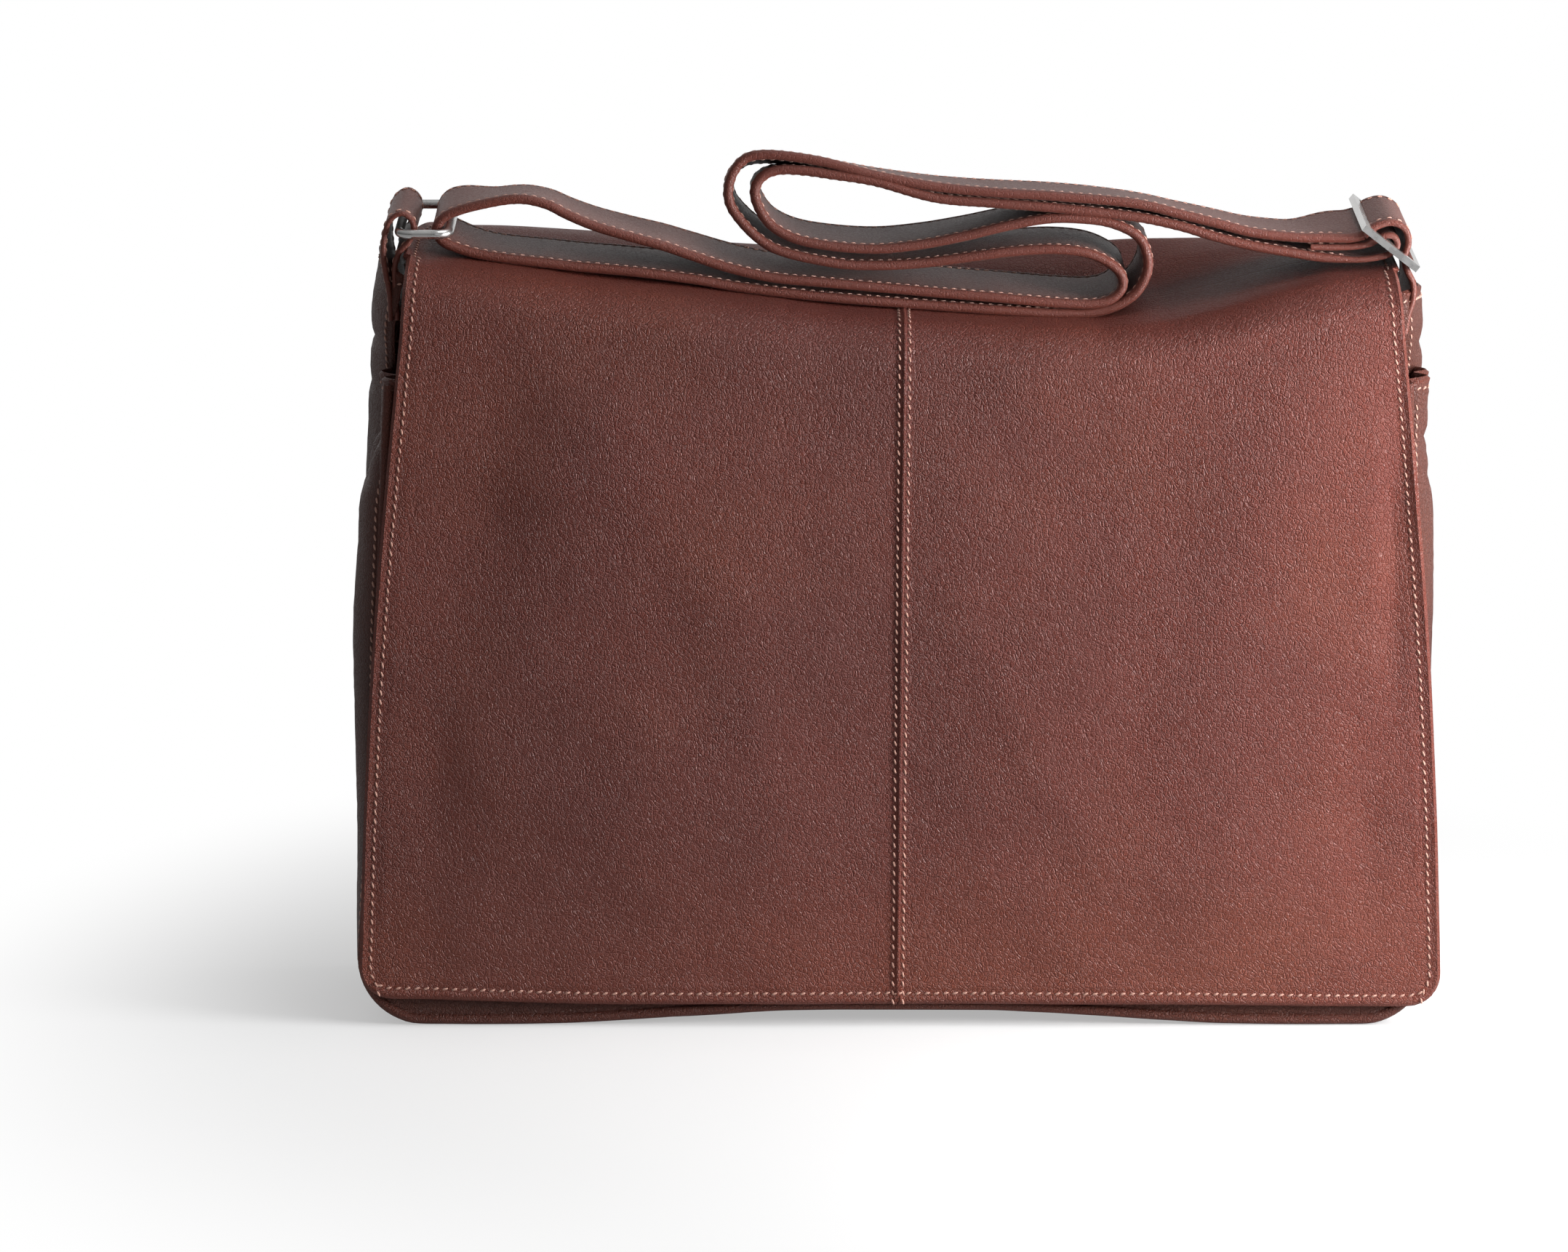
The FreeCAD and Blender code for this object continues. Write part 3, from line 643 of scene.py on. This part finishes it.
def makeWelt(grid, spans, across):
    # the raised ridge where the two halves are sewn together
    line, up = grid[:, 0] - np.array([flap["seamHalf"], 0, 0]), gridNormals(grid)[:, 0]
    turn = np.linspace(-0.25 * math.pi, 1.25 * math.pi, 9)
    ring = list(zip(0.00085 * np.cos(turn), 0.0010 + 0.00075 * np.sin(turn)))
    for part, stands in (("Top", ()), ("Front", ("flap_welt",))):
        spine = list(zip(line[spans[part]], up[spans[part]]))
        verts = [p + np.array([a, 0, 0]) + n * b for p, n in spine for a, b in ring]
        piece = addMesh("welt" + part, verts, tubeFaces(len(spine), len(ring)), leathers["flap"],
                        [0.5] * len(verts))
        settle(piece, across[part], stands)


lining = {"thick": 0.0008, "behind": 0.0014, "short": 5, "inset": 0.0056, "columns": 24, "bulge": 0.0004}


def makeFlapLining(grids, spans, across):
    grid = np.concatenate([grids[-1][:, :0:-1], grids[1][:, 1:]], axis=1)
    grid = (grid - gridNormals(grid) * lining["behind"])[:, 2:-2]
    stands = {"Top": ("flap_roof_lining", "flap_back_fold"),
              "Front": ("flap_front_lining", "flap_front_fold")}
    for part, cad in stands.items():
        span = spans[part] if part == "Top" else slice(spans[part].start, grid.shape[0] - lining["short"])
        piece = sheetPiece("flapLining" + part, grid[span], lining["thick"], liningCloth)
        settle(piece, across[part], cad)


makeFlap()
print("flap built")

body = {
    "corner": 0.0250, "lift": 0.0056, "thick": 0.0016, "piping": 0.00215, "hemInset": 0.003, "sewnRows": 12,
    "left": ((0.0, 0.030, 0.140, 0.229, 0.263, 0.278, 0.292),
             (0.2030, 0.2030, 0.2026, 0.1998, 0.1982, 0.1952, 0.1907)),
    "right": ((0.0, 0.030, 0.140, 0.233, 0.258, 0.275, 0.292),
              (0.2030, 0.2030, 0.2026, 0.2018, 0.2016, 0.2003, 0.1980)),
    "seam": ((0.030, 0.110, 0.240), (0.0014, 0.0080, 0.0100)),
}
pocketTops, backTops = (0.2440, 0.2446), (0.2640, 0.2600)


def sideHalf(side, z, seam):
    # half width of the body at a height: its fullest line, or the line of its seams
    return np.interp(z, *body["left" if side < 0 else "right"]) - seam * np.interp(z, *body["seam"])


def baseRise(x):
    # the soft base lifts a little between its corners
    return body["lift"] * (1 - np.clip(np.abs(x - 0.016) / 0.125, 0, 1) ** 2) ** 2


def bodyLine(tops, inset, seam=1.0, step=0.0025):
    # the upright outline from the top left, round the base, to the top right, with outward normals
    r = body["corner"] - inset
    halves = []
    for side, top in zip((-1, 1), tops):
        points = [(side * (sideHalf(side, z, seam) - inset), z)
                  for z in np.linspace(top, body["corner"] + 0.004, 14)]
        base = sideHalf(side, body["corner"], seam) - inset
        for a in np.radians(np.linspace(8, 82, 6)):
            points.append((side * (base - r + r * math.cos(a)), inset + r - r * math.sin(a)))
        points += [(side * x, baseRise(x) + inset) for x in np.linspace(0.168, 0.03, 7)]
        halves.append(points)
    line = curveThrough([(x, 0.0, z) for x, z in halves[0] + halves[1][::-1]], step)
    tangent = np.gradient(line, axis=0)
    normal = np.stack([tangent[:, 2], np.zeros(len(line)), -tangent[:, 0]], axis=1)
    normal /= norm(normal, axis=1, keepdims=True)
    return line, normal * (-1 if normal[0, 0] > 0 else 1)


gussets = {
    "mainGusset": {"y0": -0.0046, "y1": 0.0472, "tops": (0.2815, 0.2752), "seed": 11, "lean": 0.023,
                   "draw": 0.0, "dent": 0.002, "ear": 0.0085, "folds": ((0.2545, 0.0019), (0.2350, 0.0010)),
                   "stands": ("gusset_left", "gusset_right", "base_panel")},
    "pocketGusset": {"y0": -0.0440, "y1": -0.0058, "tops": pocketTops, "seed": 17, "lean": 0.0,
                     "draw": 0.0055, "dent": 0.007, "ear": 0.0, "folds": ((0.2210, 0.0022), (0.2060, 0.0008)),
                     "stands": ("pocket_gusset_left", "pocket_gusset_right", "pocket_base")},
}


def gussetGrid(look):
    # a band between two seams, full along its middle, with wrinkles and a soft ear at its top
    y0, y1, tops, seed = look["y0"], look["y1"], look["tops"], look["seed"]
    full, normal = bodyLine(tops, 0.0008, 0.0)
    seamed = resample(bodyLine(tops, 0.0016, 1.0)[0], len(full))
    depth = np.linspace(0, 1, 40)
    top = np.where(full[:, 0] < 0, tops[0], tops[1])
    side = smooth((full[:, 2] - 0.012) / 0.06)
    high = smooth((full[:, 2] - (top - 0.050)) / 0.042)
    grid = np.zeros((len(full), len(depth), 3))
    for j, share in enumerate(depth):
        place = seamed + (full - seamed) * math.sin(math.pi * share) ** 0.62
        place[:, 0] += look["draw"] * high * (full[:, 0] < 0)
        place[:, 1] = y0 + (y1 - y0) * share - look["lean"] * high * (1 - share) ** 1.5
        dent = look["dent"] * np.exp(-((share - 0.45) / 0.16) ** 2) * high * side
        grid[:, j] = place - normal * dent[:, None]
        ear = look["ear"] * high * side * math.sin(math.pi * min(share * 1.15, 1))
        grid[:, j, 2] += ear * (full[:, 0] < 0)
    slow = wobble(grid, 0.040, seed, (1.0, 1.0, 0.8))
    creases = np.abs(wobble(grid, 0.020, seed + 3, (1.0, 0.8, 1.7)))
    fine = np.abs(wobble(grid, 0.008, seed + 5, (1.0, 1.0, 1.5)))
    amount = 0.0013 * slow - 0.0012 * (0.4 - creases) * (0.2 + high)[:, None] - 0.0003 * fine
    edge = np.sin(np.pi * depth)[None, :] ** 0.7 * side[:, None]
    grid += normal[:, None, :] * (amount * edge)[..., None]
    for centre, deep in look["folds"]:
        fold = deep * np.exp(-((grid[..., 2] - centre - 0.10 * (grid[..., 1] - y0)) / 0.0035) ** 2)
        grid -= normal[:, None, :] * (fold * edge)[..., None]
    return grid


def outwardOf(grid):
    # the sign that turns a grid's normals away from the middle of the bag
    score = np.sum(gridNormals(grid) * (grid - np.array([0.0, 0.0, 0.13])), axis=2)
    return 1 if np.mean(score) > 0 else -1


def sewnSheet(name, grid, near, turn, cad):
    # a body leather sheet with a turned hem near its top edge, and its outer surface
    proud = hemProud(near, body["hemInset"])
    piece = sheetPiece(name, grid, body["thick"], leathers["body"], turn, proud, hemMask(near))
    settle(piece, stands=cad)
    normal = gridNormals(grid) * turn
    return grid + normal * (body["thick"] / 2 + proud)[..., None], normal


def hemRow(surface, normal, near, part):
    return threadRow(*turnGrid(surface[part], normal[part], near[part]), body["hemInset"])


def makeGussets():
    rows = []
    ends = body["sewnRows"]
    for name, look in gussets.items():
        grid = gussetGrid(look)
        steps = norm(np.diff(grid, axis=0), axis=2)
        along = np.vstack([np.zeros(grid.shape[1]), np.cumsum(steps, axis=0)])
        near = np.minimum(along, along[-1] - along)
        surface, normal = sewnSheet(name, grid, near, outwardOf(grid), look["stands"])
        rows += [hemRow(surface, normal, near, part) for part in (slice(0, ends), slice(-ends, None))]
        for j in (1, -2):
            rows.append((surface[4:-4, j] + normal[4:-4, j] * threadLift, normal[4:-4, j]))
    settle(stitchPiece("gussetThread", rows))


def panelGrid(y, tops, inset, bulge, seed, columns=96, rows=80):
    # an upright panel inside the outline, a little crowned
    ups = np.linspace(0, 1, rows) ** 1.25
    grid = np.zeros((rows, columns, 3))
    r = body["corner"] - inset
    for j, share in enumerate(np.linspace(-1, 1, columns)):
        side = -1 if share < 0 else 1
        top = np.interp(share, (-1, 1), tops)
        low = inset + baseRise(share * sideHalf(side, 0.0, 1.0))
        z = low + (top - low) * ups
        drop = np.clip(inset + r - z, 0, r)
        half = np.where(z < inset + r, sideHalf(side, r, 1.0) - inset - r + np.sqrt(r * r - drop * drop),
                        sideHalf(side, z, 1.0) - inset)
        grid[:, j] = np.stack([share * half, np.full(rows, y), z], axis=1)
    x, z = grid[..., 0], grid[..., 2]
    crown = np.sin(np.pi * np.clip((x / 0.2 + 1) / 2, 0, 1))
    crown = crown * np.sin(np.pi * np.clip(z / tops[0], 0, 1)) ** 0.7
    slow = wobble(grid, 0.07, seed, (1.0, 0.3, 1.0))
    grid[..., 1] += bulge * crown + 0.0010 * slow * crown * np.sign(bulge)
    return grid


panels = (
    ("pocketPanel", -0.0444, pocketTops, 0.0030, 0.0012, 21, "pocket_panel"),
    ("backPanel", 0.0487, backTops, 0.0030, 0.0045, 23, "back_panel"),
    ("innerWall", -0.0052, (0.2580, 0.2580), 0.0026, 0.0012, 27, "inner_wall"),
)


def makePanels():
    rows = []
    for name, y, tops, inset, bulge, seed, cad in panels:
        grid = panelGrid(y, tops, inset, bulge, seed)
        turn = 1 if np.mean(gridNormals(grid)[..., 1]) * (1 if y > 0 else -1) > 0 else -1
        steps = norm(np.diff(grid, axis=0), axis=2)
        fromTop = np.vstack([np.cumsum(steps[::-1], axis=0)[::-1], np.zeros(grid.shape[1])])
        surface, normal = sewnSheet(name, grid, fromTop, turn, (cad,))
        rows.append(hemRow(surface, normal, fromTop, slice(-body["sewnRows"], None)))
    settle(stitchPiece("panelThread", rows))


def makePiping(name, y, tops, cad):
    # the rolled seam round a panel
    line, normal = bodyLine(tops, body["piping"] + 0.0001)
    line[:, 1] = y
    ring = np.linspace(0, 2 * math.pi, 15)[:-1]
    verts = []
    for p, n in zip(line, normal):
        swell = body["piping"] * (1 + 0.04 * noise.noise(Vector(p) * 60))
        verts += [p + n * swell * math.cos(a) + np.array([0, 1, 0]) * swell * math.sin(a) for a in ring]
    piece = addMesh(name, verts, tubeFaces(len(line), len(ring)), leathers["body"], [0.6] * len(verts))
    settle(piece, stands=(cad,))


makeGussets()
makePanels()
makePiping("pipingFront", -0.0443, (0.2430, 0.2436), "piping_front")
makePiping("pipingBack", 0.0478, backTops, "piping_back")
print("body built")


def makeLinings():
    # open-topped bags of cloth that hang inside the leather
    for name, y0, y1, tops, seed, cad in (
            ("mainLining", -0.0030, 0.0462, (0.2520, 0.2520), 31, "main_lining"),
            ("pocketLining", -0.0420, -0.0072, (0.2380, 0.2380), 33, "pocket_lining")):
        line, normal = bodyLine(tops, lining["inset"])
        grid = np.repeat(line[:, None, :], lining["columns"], axis=1)
        grid[..., 1] = y0 + (y1 - y0) * np.linspace(0, 1, lining["columns"])
        band = grid + (wobble(grid, 0.03, seed) * 0.0008)[..., None] * normal[:, None, :]
        piece = sheetPiece(name + "Band", band, lining["thick"], liningCloth, outwardOf(band))
        settle(piece, stands=(cad,))
        for end, y in (("Front", y0), ("Back", y1)):
            wall = panelGrid(y, tops, lining["inset"], lining["bulge"], seed + 2, 60, 50)
            settle(sheetPiece(name + end, wall, lining["thick"], liningCloth))


slip = {"half": 0.100, "bottom": 0.110, "top": 0.220, "y": 0.0448, "sag": 0.0012, "dip": 0.0016, "hem": 0.004}


def makeSlipPocket():
    z, x = np.meshgrid(np.linspace(slip["bottom"], slip["top"], 34),
                       np.linspace(-slip["half"], slip["half"], 60), indexing="ij")
    sag = np.sin(math.pi * (x + slip["half"]) / 0.2) * (z - slip["bottom"]) / 0.11
    grid = np.stack([x, slip["y"] - slip["sag"] * sag, z - slip["dip"] * sag], axis=2)
    fromTop = np.abs(grid[-1, :, 2][None, :] - grid[..., 2])
    piece = sheetPiece("slipPocket", grid, lining["thick"], liningCloth, -1, hemProud(fromTop, slip["hem"]))
    settle(piece, stands=("slip_pocket",))
    normal = gridNormals(grid)
    normal = normal * (1 if np.mean(normal[..., 1]) < 0 else -1)
    surface = grid + normal * 0.0006
    rows = [(surface[:, 1], normal[:, 1]), (surface[:, -2], normal[:, -2]), (surface[1], normal[1]),
            (surface[-3], normal[-3])]
    settle(stitchPiece("slipThread", rows))


makeLinings()
makeSlipPocket()
print("inside built")

strap = {"width": 0.038, "thick": 0.0036, "endThick": 0.0023, "frontY": -0.027, "edge": 0.0030,
         "step": 0.0013, "metalTilt": 0.158}
strapSides = ((0.0026, 1.0), (0.0030, 0.80), (0.0036, 0.92), (0.006, 0.95), (0.012, 0.9), (0.019, 0.9))
tiltTable = ((0.272, 0.285, 0.300, 0.312, 0.3215, 0.327), (0.150, 0.125, 0.065, 0.010, -0.070, -0.130))

# (x, z) of the strap's front edge in millimetres. The long strap runs from under the buckle's bar to the
# ring and back to its sewn end. The short piece goes over the buckle and down to the gusset.
strapRoute = {
    "right": (
        (190, 260), (191.2, 267), (192.8, 272.5), (192.8, 278.5), (190.4, 283.5), (189.4, 288.5),
        (190.8, 293.5), (189.6, 298.5), (184.8, 301.2), (179, 300), (174.2, 296.4),),
    "long": (
        (174.2, 296.4), (169, 295.3), (160, 295.5), (150, 295.7), (133, 297.6), (119, 301.2), (106, 304.5),
        (89, 308.5), (59, 311.2), (37, 312.5), (15, 314.7), (-8, 319.2), (-29, 324.6), (-48, 326.8),
        (-57, 324), (-61.6, 314.5), (-59, 304.5), (-45.5, 292), (-23.2, 286.2), (-6.8, 285.1),
        (9.7, 285.9), (26.2, 288), (42.9, 290.2), (60, 291.2), (73.5, 289.2), (83, 283.5), (85, 277.5),
        (80.8, 272.5), (73, 270.6), (59, 271.2), (37, 273.2), (15, 275), (-7, 277), (-29, 279),
        (-45.5, 280.6), (-61.6, 284.2), (-76.4, 289.2), (-86.4, 292.6), (-100, 296.4), (-111.5, 299.9),
        (-121.5, 304.2), (-128, 307.6), (-134, 309.4), (-139, 310), (-145, 309.6), (-153, 308),
        (-161, 305.8), (-167.2, 303), (-170, 298.5), (-168, 294.3), (-163, 291.8), (-156, 289.7),
        (-148, 288.3), (-139, 287.1), (-131, 286.2), (-116.4, 284.5), (-101.5, 283.2), (-86.4, 281.5),
        (-71.6, 279.4), (-56.4, 276.8), (-29.7, 273.7), (0, 271.2), (30, 269), (60, 267.2), (76, 267.8),
        (88, 273), (93.5, 281), (94, 289), (90, 296.5), (80, 301.2), (68, 302.8), (56, 302.6), (42, 300),
        (26.2, 296.1), (9.7, 292.9), (-6.8, 291.3), (-23.2, 292.4), (-36.5, 295.1), (-45.4, 299.9),
        (-50.2, 306.6), (-51.8, 313.2), (-49, 318.5), (-43, 321), (-34, 320.8), (-23.2, 319.3),
        (-6.8, 316.6), (15, 310.5), (37, 308.5), (59, 306.8), (89, 303.5), (106, 300), (119, 296),
        (133, 292.5), (150, 289.5), (160, 288), (172, 287.4), (180, 288.4), (184.5, 289.9), (186.8, 292.7),
        (185.4, 296), (181.5, 296.2), (177, 293.5), (170, 292.2), (161, 292), (154.5, 292.2),),
}
tab = {"thick": 0.0020, "step": 0.0010, "route": (
    (-187.2, 265), (-187.6, 274), (-189, 282), (-189.8, 289), (-189.3, 296), (-187.2, 302), (-183, 304.6),
    (-179.2, 302.2), (-178.4, 297.7), (-180.6, 293.6), (-184, 289.8), (-185.6, 284), (-185.2, 274),
    (-184.8, 265),
)}


def strapSection(thick):
    # half-round rolled edges and a slightly thinner middle, as (across, up) pairs
    w, h = strap["width"], thick / 2
    spots = [(h + h * math.cos(a), h * math.sin(a)) for a in np.radians(np.arange(90, 271, 30))]
    near = [(a, -h * k) for a, k in strapSides]
    lower = near + [(w - a, b) for a, b in near[:-1][::-1]]
    far = [(w - a, -b) for a, b in spots]
    return spots + lower + far + [(w - a, -b) for a, b in lower]


def strapTilt(line):
    # how steeply the strap rises to the back: with the roof below, level above it, with the metal at its ends
    x, z = line[:, 0], line[:, 2]
    rise = np.interp(z, *tiltTable)
    rise = rise - 0.035 * smooth((x - 0.06) / 0.04) * smooth((z - 0.290) / 0.006)
    ends = smooth((np.abs(x) - 0.146) / 0.022)
    return rise * (1 - ends) + strap["metalTilt"] * ends


def strapThickness(name, line):
    if name == "right":
        return 0.0024 + 0.0010 * smooth(np.linspace(-2.5, 1, len(line)))
    lengths = runLength(line)
    left = lengths[-1] - lengths
    return strap["endThick"] + (strap["thick"] - strap["endThick"]) * smooth((left - 0.052) / 0.015)


def routeLine(route, step):
    return curveThrough([(x / 1000, 0.0, z / 1000) for x, z in route], step)


def sewStrap(name, threadName, line, thick, tilt, clear, across, stands):
    # a strap along a line with a thread row along each edge of both faces, of one face only on strap_right,
    # wherever clear allows it
    tangent = np.gradient(line, axis=0)
    tangent /= norm(tangent, axis=1, keepdims=True)
    up = np.stack([-tangent[:, 2], np.zeros(len(line)), tangent[:, 0]], axis=1)
    inner = 0.150 - np.abs(line[:, 0])
    front = strap["frontY"] + 0.0011 * wobble(line, 0.05, 4) * smooth(inner / 0.05)
    ripple = 0.00035 * wobble(line, 0.012, 9) * smooth(inner / 0.03)
    verts, hem = [], []
    for i, p in enumerate(line):
        for a, b in strapSection(thick[i]):
            middle = math.sin(math.pi * min(max(a / strap["width"], 0), 1))
            verts.append(p + np.array([0, front[i] + a, a * tilt[i]]) + up[i] * (b + ripple[i] * middle))
            hem.append(1.0 if a < 0.0022 or a > strap["width"] - 0.0022 else 0.0)
    piece = addMesh(name, verts, tubeFaces(len(line), len(verts) // len(line)), leathers["strap"], hem)
    settle(piece, across, stands)
    kept = np.flatnonzero(clear)
    runs = np.split(kept, np.where(np.diff(kept) > 1)[0] + 1)
    rows = []
    for a in (strap["edge"], strap["width"] - strap["edge"]):
        for sign in (-1,) if name == "strap_right" else (-1, 1):
            place = np.stack([np.zeros(len(line)), front + a, a * tilt], axis=1)
            row = line + place + up * (sign * (thick * 0.40 + 0.00015))[:, None]
            rows += [(row[run], up[run] * sign) for run in runs]
    settle(stitchPiece(threadName, rows), across)


def makeStrap():
    # thread stays clear of the buckle, which swivels
    placing = {"right": (("bag", "flap_top", (0.0, 0.0, 0.263), (0.0, 0.0, 0.280)),
                         ("strap_anchor_right", "strap_end_outer")),
               "long": (("flap_top", "ring", (-0.142, 0.0, 0.0), (-0.160, 0.0, 0.0)),
                        ("strap_outer_run", "strap_end_left", "strap_inner_run", "strap_end_inner"))}
    for name, (across, stands) in placing.items():
        line = routeLine(strapRoute[name], strap["step"])
        print("strap", name, round(len(line) * strap["step"], 3), "m")
        clear = line[:, 2] > 0.2945 if name == "right" else line[:, 0] < 0.1665
        sewStrap("strap_" + name, "strapThread_" + name, line, strapThickness(name, line), strapTilt(line),
                 clear, across, stands)


def makeTab():
    # the strip that ties the ring to the gusset's ear: two legs and a loop
    line = routeLine(tab["route"], tab["step"])
    even = np.ones(len(line))
    across = ("bag", "flap_top", (0.0, 0.0, 0.268), (0.0, 0.0, 0.291))
    sewStrap("ringTab", "ringTabThread", line, even * tab["thick"], even * strap["metalTilt"], even, across,
             ("tab_left",))


makeStrap()
makeTab()
print("strap built")


def coat(node, material):
    # a CAD piece that stays as it is gets its material here
    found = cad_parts[node]
    obj = found if isinstance(found, bpy.types.Object) else bpy.data.objects[node]
    if not obj.material_slots:
        obj.data.materials.append(material)
    for slot in obj.material_slots:
        slot.material = material


for node, coating in (("ring_left", nickel), ("buckle_right", nickel), ("snap_sockets", snapNickel),
                      ("snap_studs", snapNickel), ("base_board", boardSkin)):
    coat(node, coating)
print("hardware coated")

shot = {"distance": 1.900, "elevation": 10.0, "aim": (-0.041, -0.050, 0.1537), "lens": 117.5}
lamps = (
    ("keyRight", (0.56, -0.27, 0.27), 0.36, 7.9),
    ("fillFront", (0.45, -2.3, 0.9), 1.2, 1.5),
    ("topSoft", (0.45, -0.20, 1.6), 0.9, 7.5),
)
lampAim = Vector((0.0, 0.0, 0.15))
white = (1, 1, 1, 1)
floorHalf = 3.0


def cameraRays(tree):
    return tree.nodes.new("ShaderNodeLightPath").outputs["Is Camera Ray"]


def makeStage():
    # a pale floor that turns plain white away from the bag
    mesh = bpy.data.meshes.new("floor")
    corners = [(x * floorHalf, y * floorHalf, 0) for x, y in ((-1, -1), (1, -1), (1, 1), (-1, 1))]
    mesh.from_pydata(corners, [], [(0, 1, 2, 3)])
    floor = addObject("floor", mesh)
    material, tree, shader, place = newMaterial("floorWhite")
    feed(tree, shader, [("Base Color", (0.86, 0.86, 0.86, 1)), ("Roughness", 0.9),
                        ("Specular IOR Level", 0.0)])
    squeezed = vectorNode(tree, "MULTIPLY", place, (1.0, 0.8, 0.0)).outputs[0]
    fade = ramp(tree, vectorNode(tree, "LENGTH", squeezed).outputs["Value"], 0.20, 0.40, 0.42, 1.0)
    dull, bright = (outOf(tree, "ShaderNodeEmission", [("Color", white), ("Strength", strength)])
                    for strength in (0.30, 1.0))
    far = outOf(tree, "ShaderNodeMixShader", [(0, cameraRays(tree)), (1, dull), (2, bright)])
    mix = outOf(tree, "ShaderNodeMixShader", [(0, fade), (1, shader.outputs[0]), (2, far)])
    feed(tree, tree.nodes["Material Output"], [("Surface", mix)])
    mesh.materials.append(material)


def makeLights():
    for name, place, size, power in lamps:
        data = bpy.data.lights.new(name, "AREA")
        data.shape = "DISK"
        data.size = size
        data.energy = power
        lamp = addObject(name, data)
        lamp.location = place
        lamp.rotation_euler = (lampAim - Vector(place)).to_track_quat("-Z", "Y").to_euler()
    world = bpy.data.worlds.new("studio")
    world.use_nodes = True
    tree = world.node_tree
    way = tree.nodes.new("ShaderNodeTexCoord").outputs["Generated"]
    split = addNode(tree, "ShaderNodeSeparateXYZ", [(0, way)]).outputs
    above = ramp(tree, split["Z"], -0.1, 0.9, 0.03, 0.30)
    behind = ramp(tree, split["Y"], 0.1, 0.95, 0.0, 0.75)
    soft = tree.nodes["Background"]
    feed(tree, soft, [("Color", white), ("Strength", mathNode(tree, "MAXIMUM", above, behind))])
    bright = outOf(tree, "ShaderNodeBackground", [("Color", white), ("Strength", 1.0)])
    mix = outOf(tree, "ShaderNodeMixShader", [(0, cameraRays(tree)), (1, soft.outputs[0]), (2, bright)])
    feed(tree, tree.nodes["World Output"], [("Surface", mix)])
    bpy.context.scene.world = world


def makeCamera():
    data = bpy.data.cameras.new("camera")
    data.lens = shot["lens"]
    data.clip_start = 0.05
    camera = addObject("camera", data)
    lean = math.radians(shot["elevation"])
    camera.location = Vector(shot["aim"]) + Vector((0, -math.cos(lean), math.sin(lean))) * shot["distance"]
    camera.rotation_euler = (math.pi / 2 - lean, 0, 0)
    bpy.context.scene.camera = camera


makeStage()
makeLights()
makeCamera()
bpy.context.scene.view_settings.view_transform = "Standard"
print("stage built")
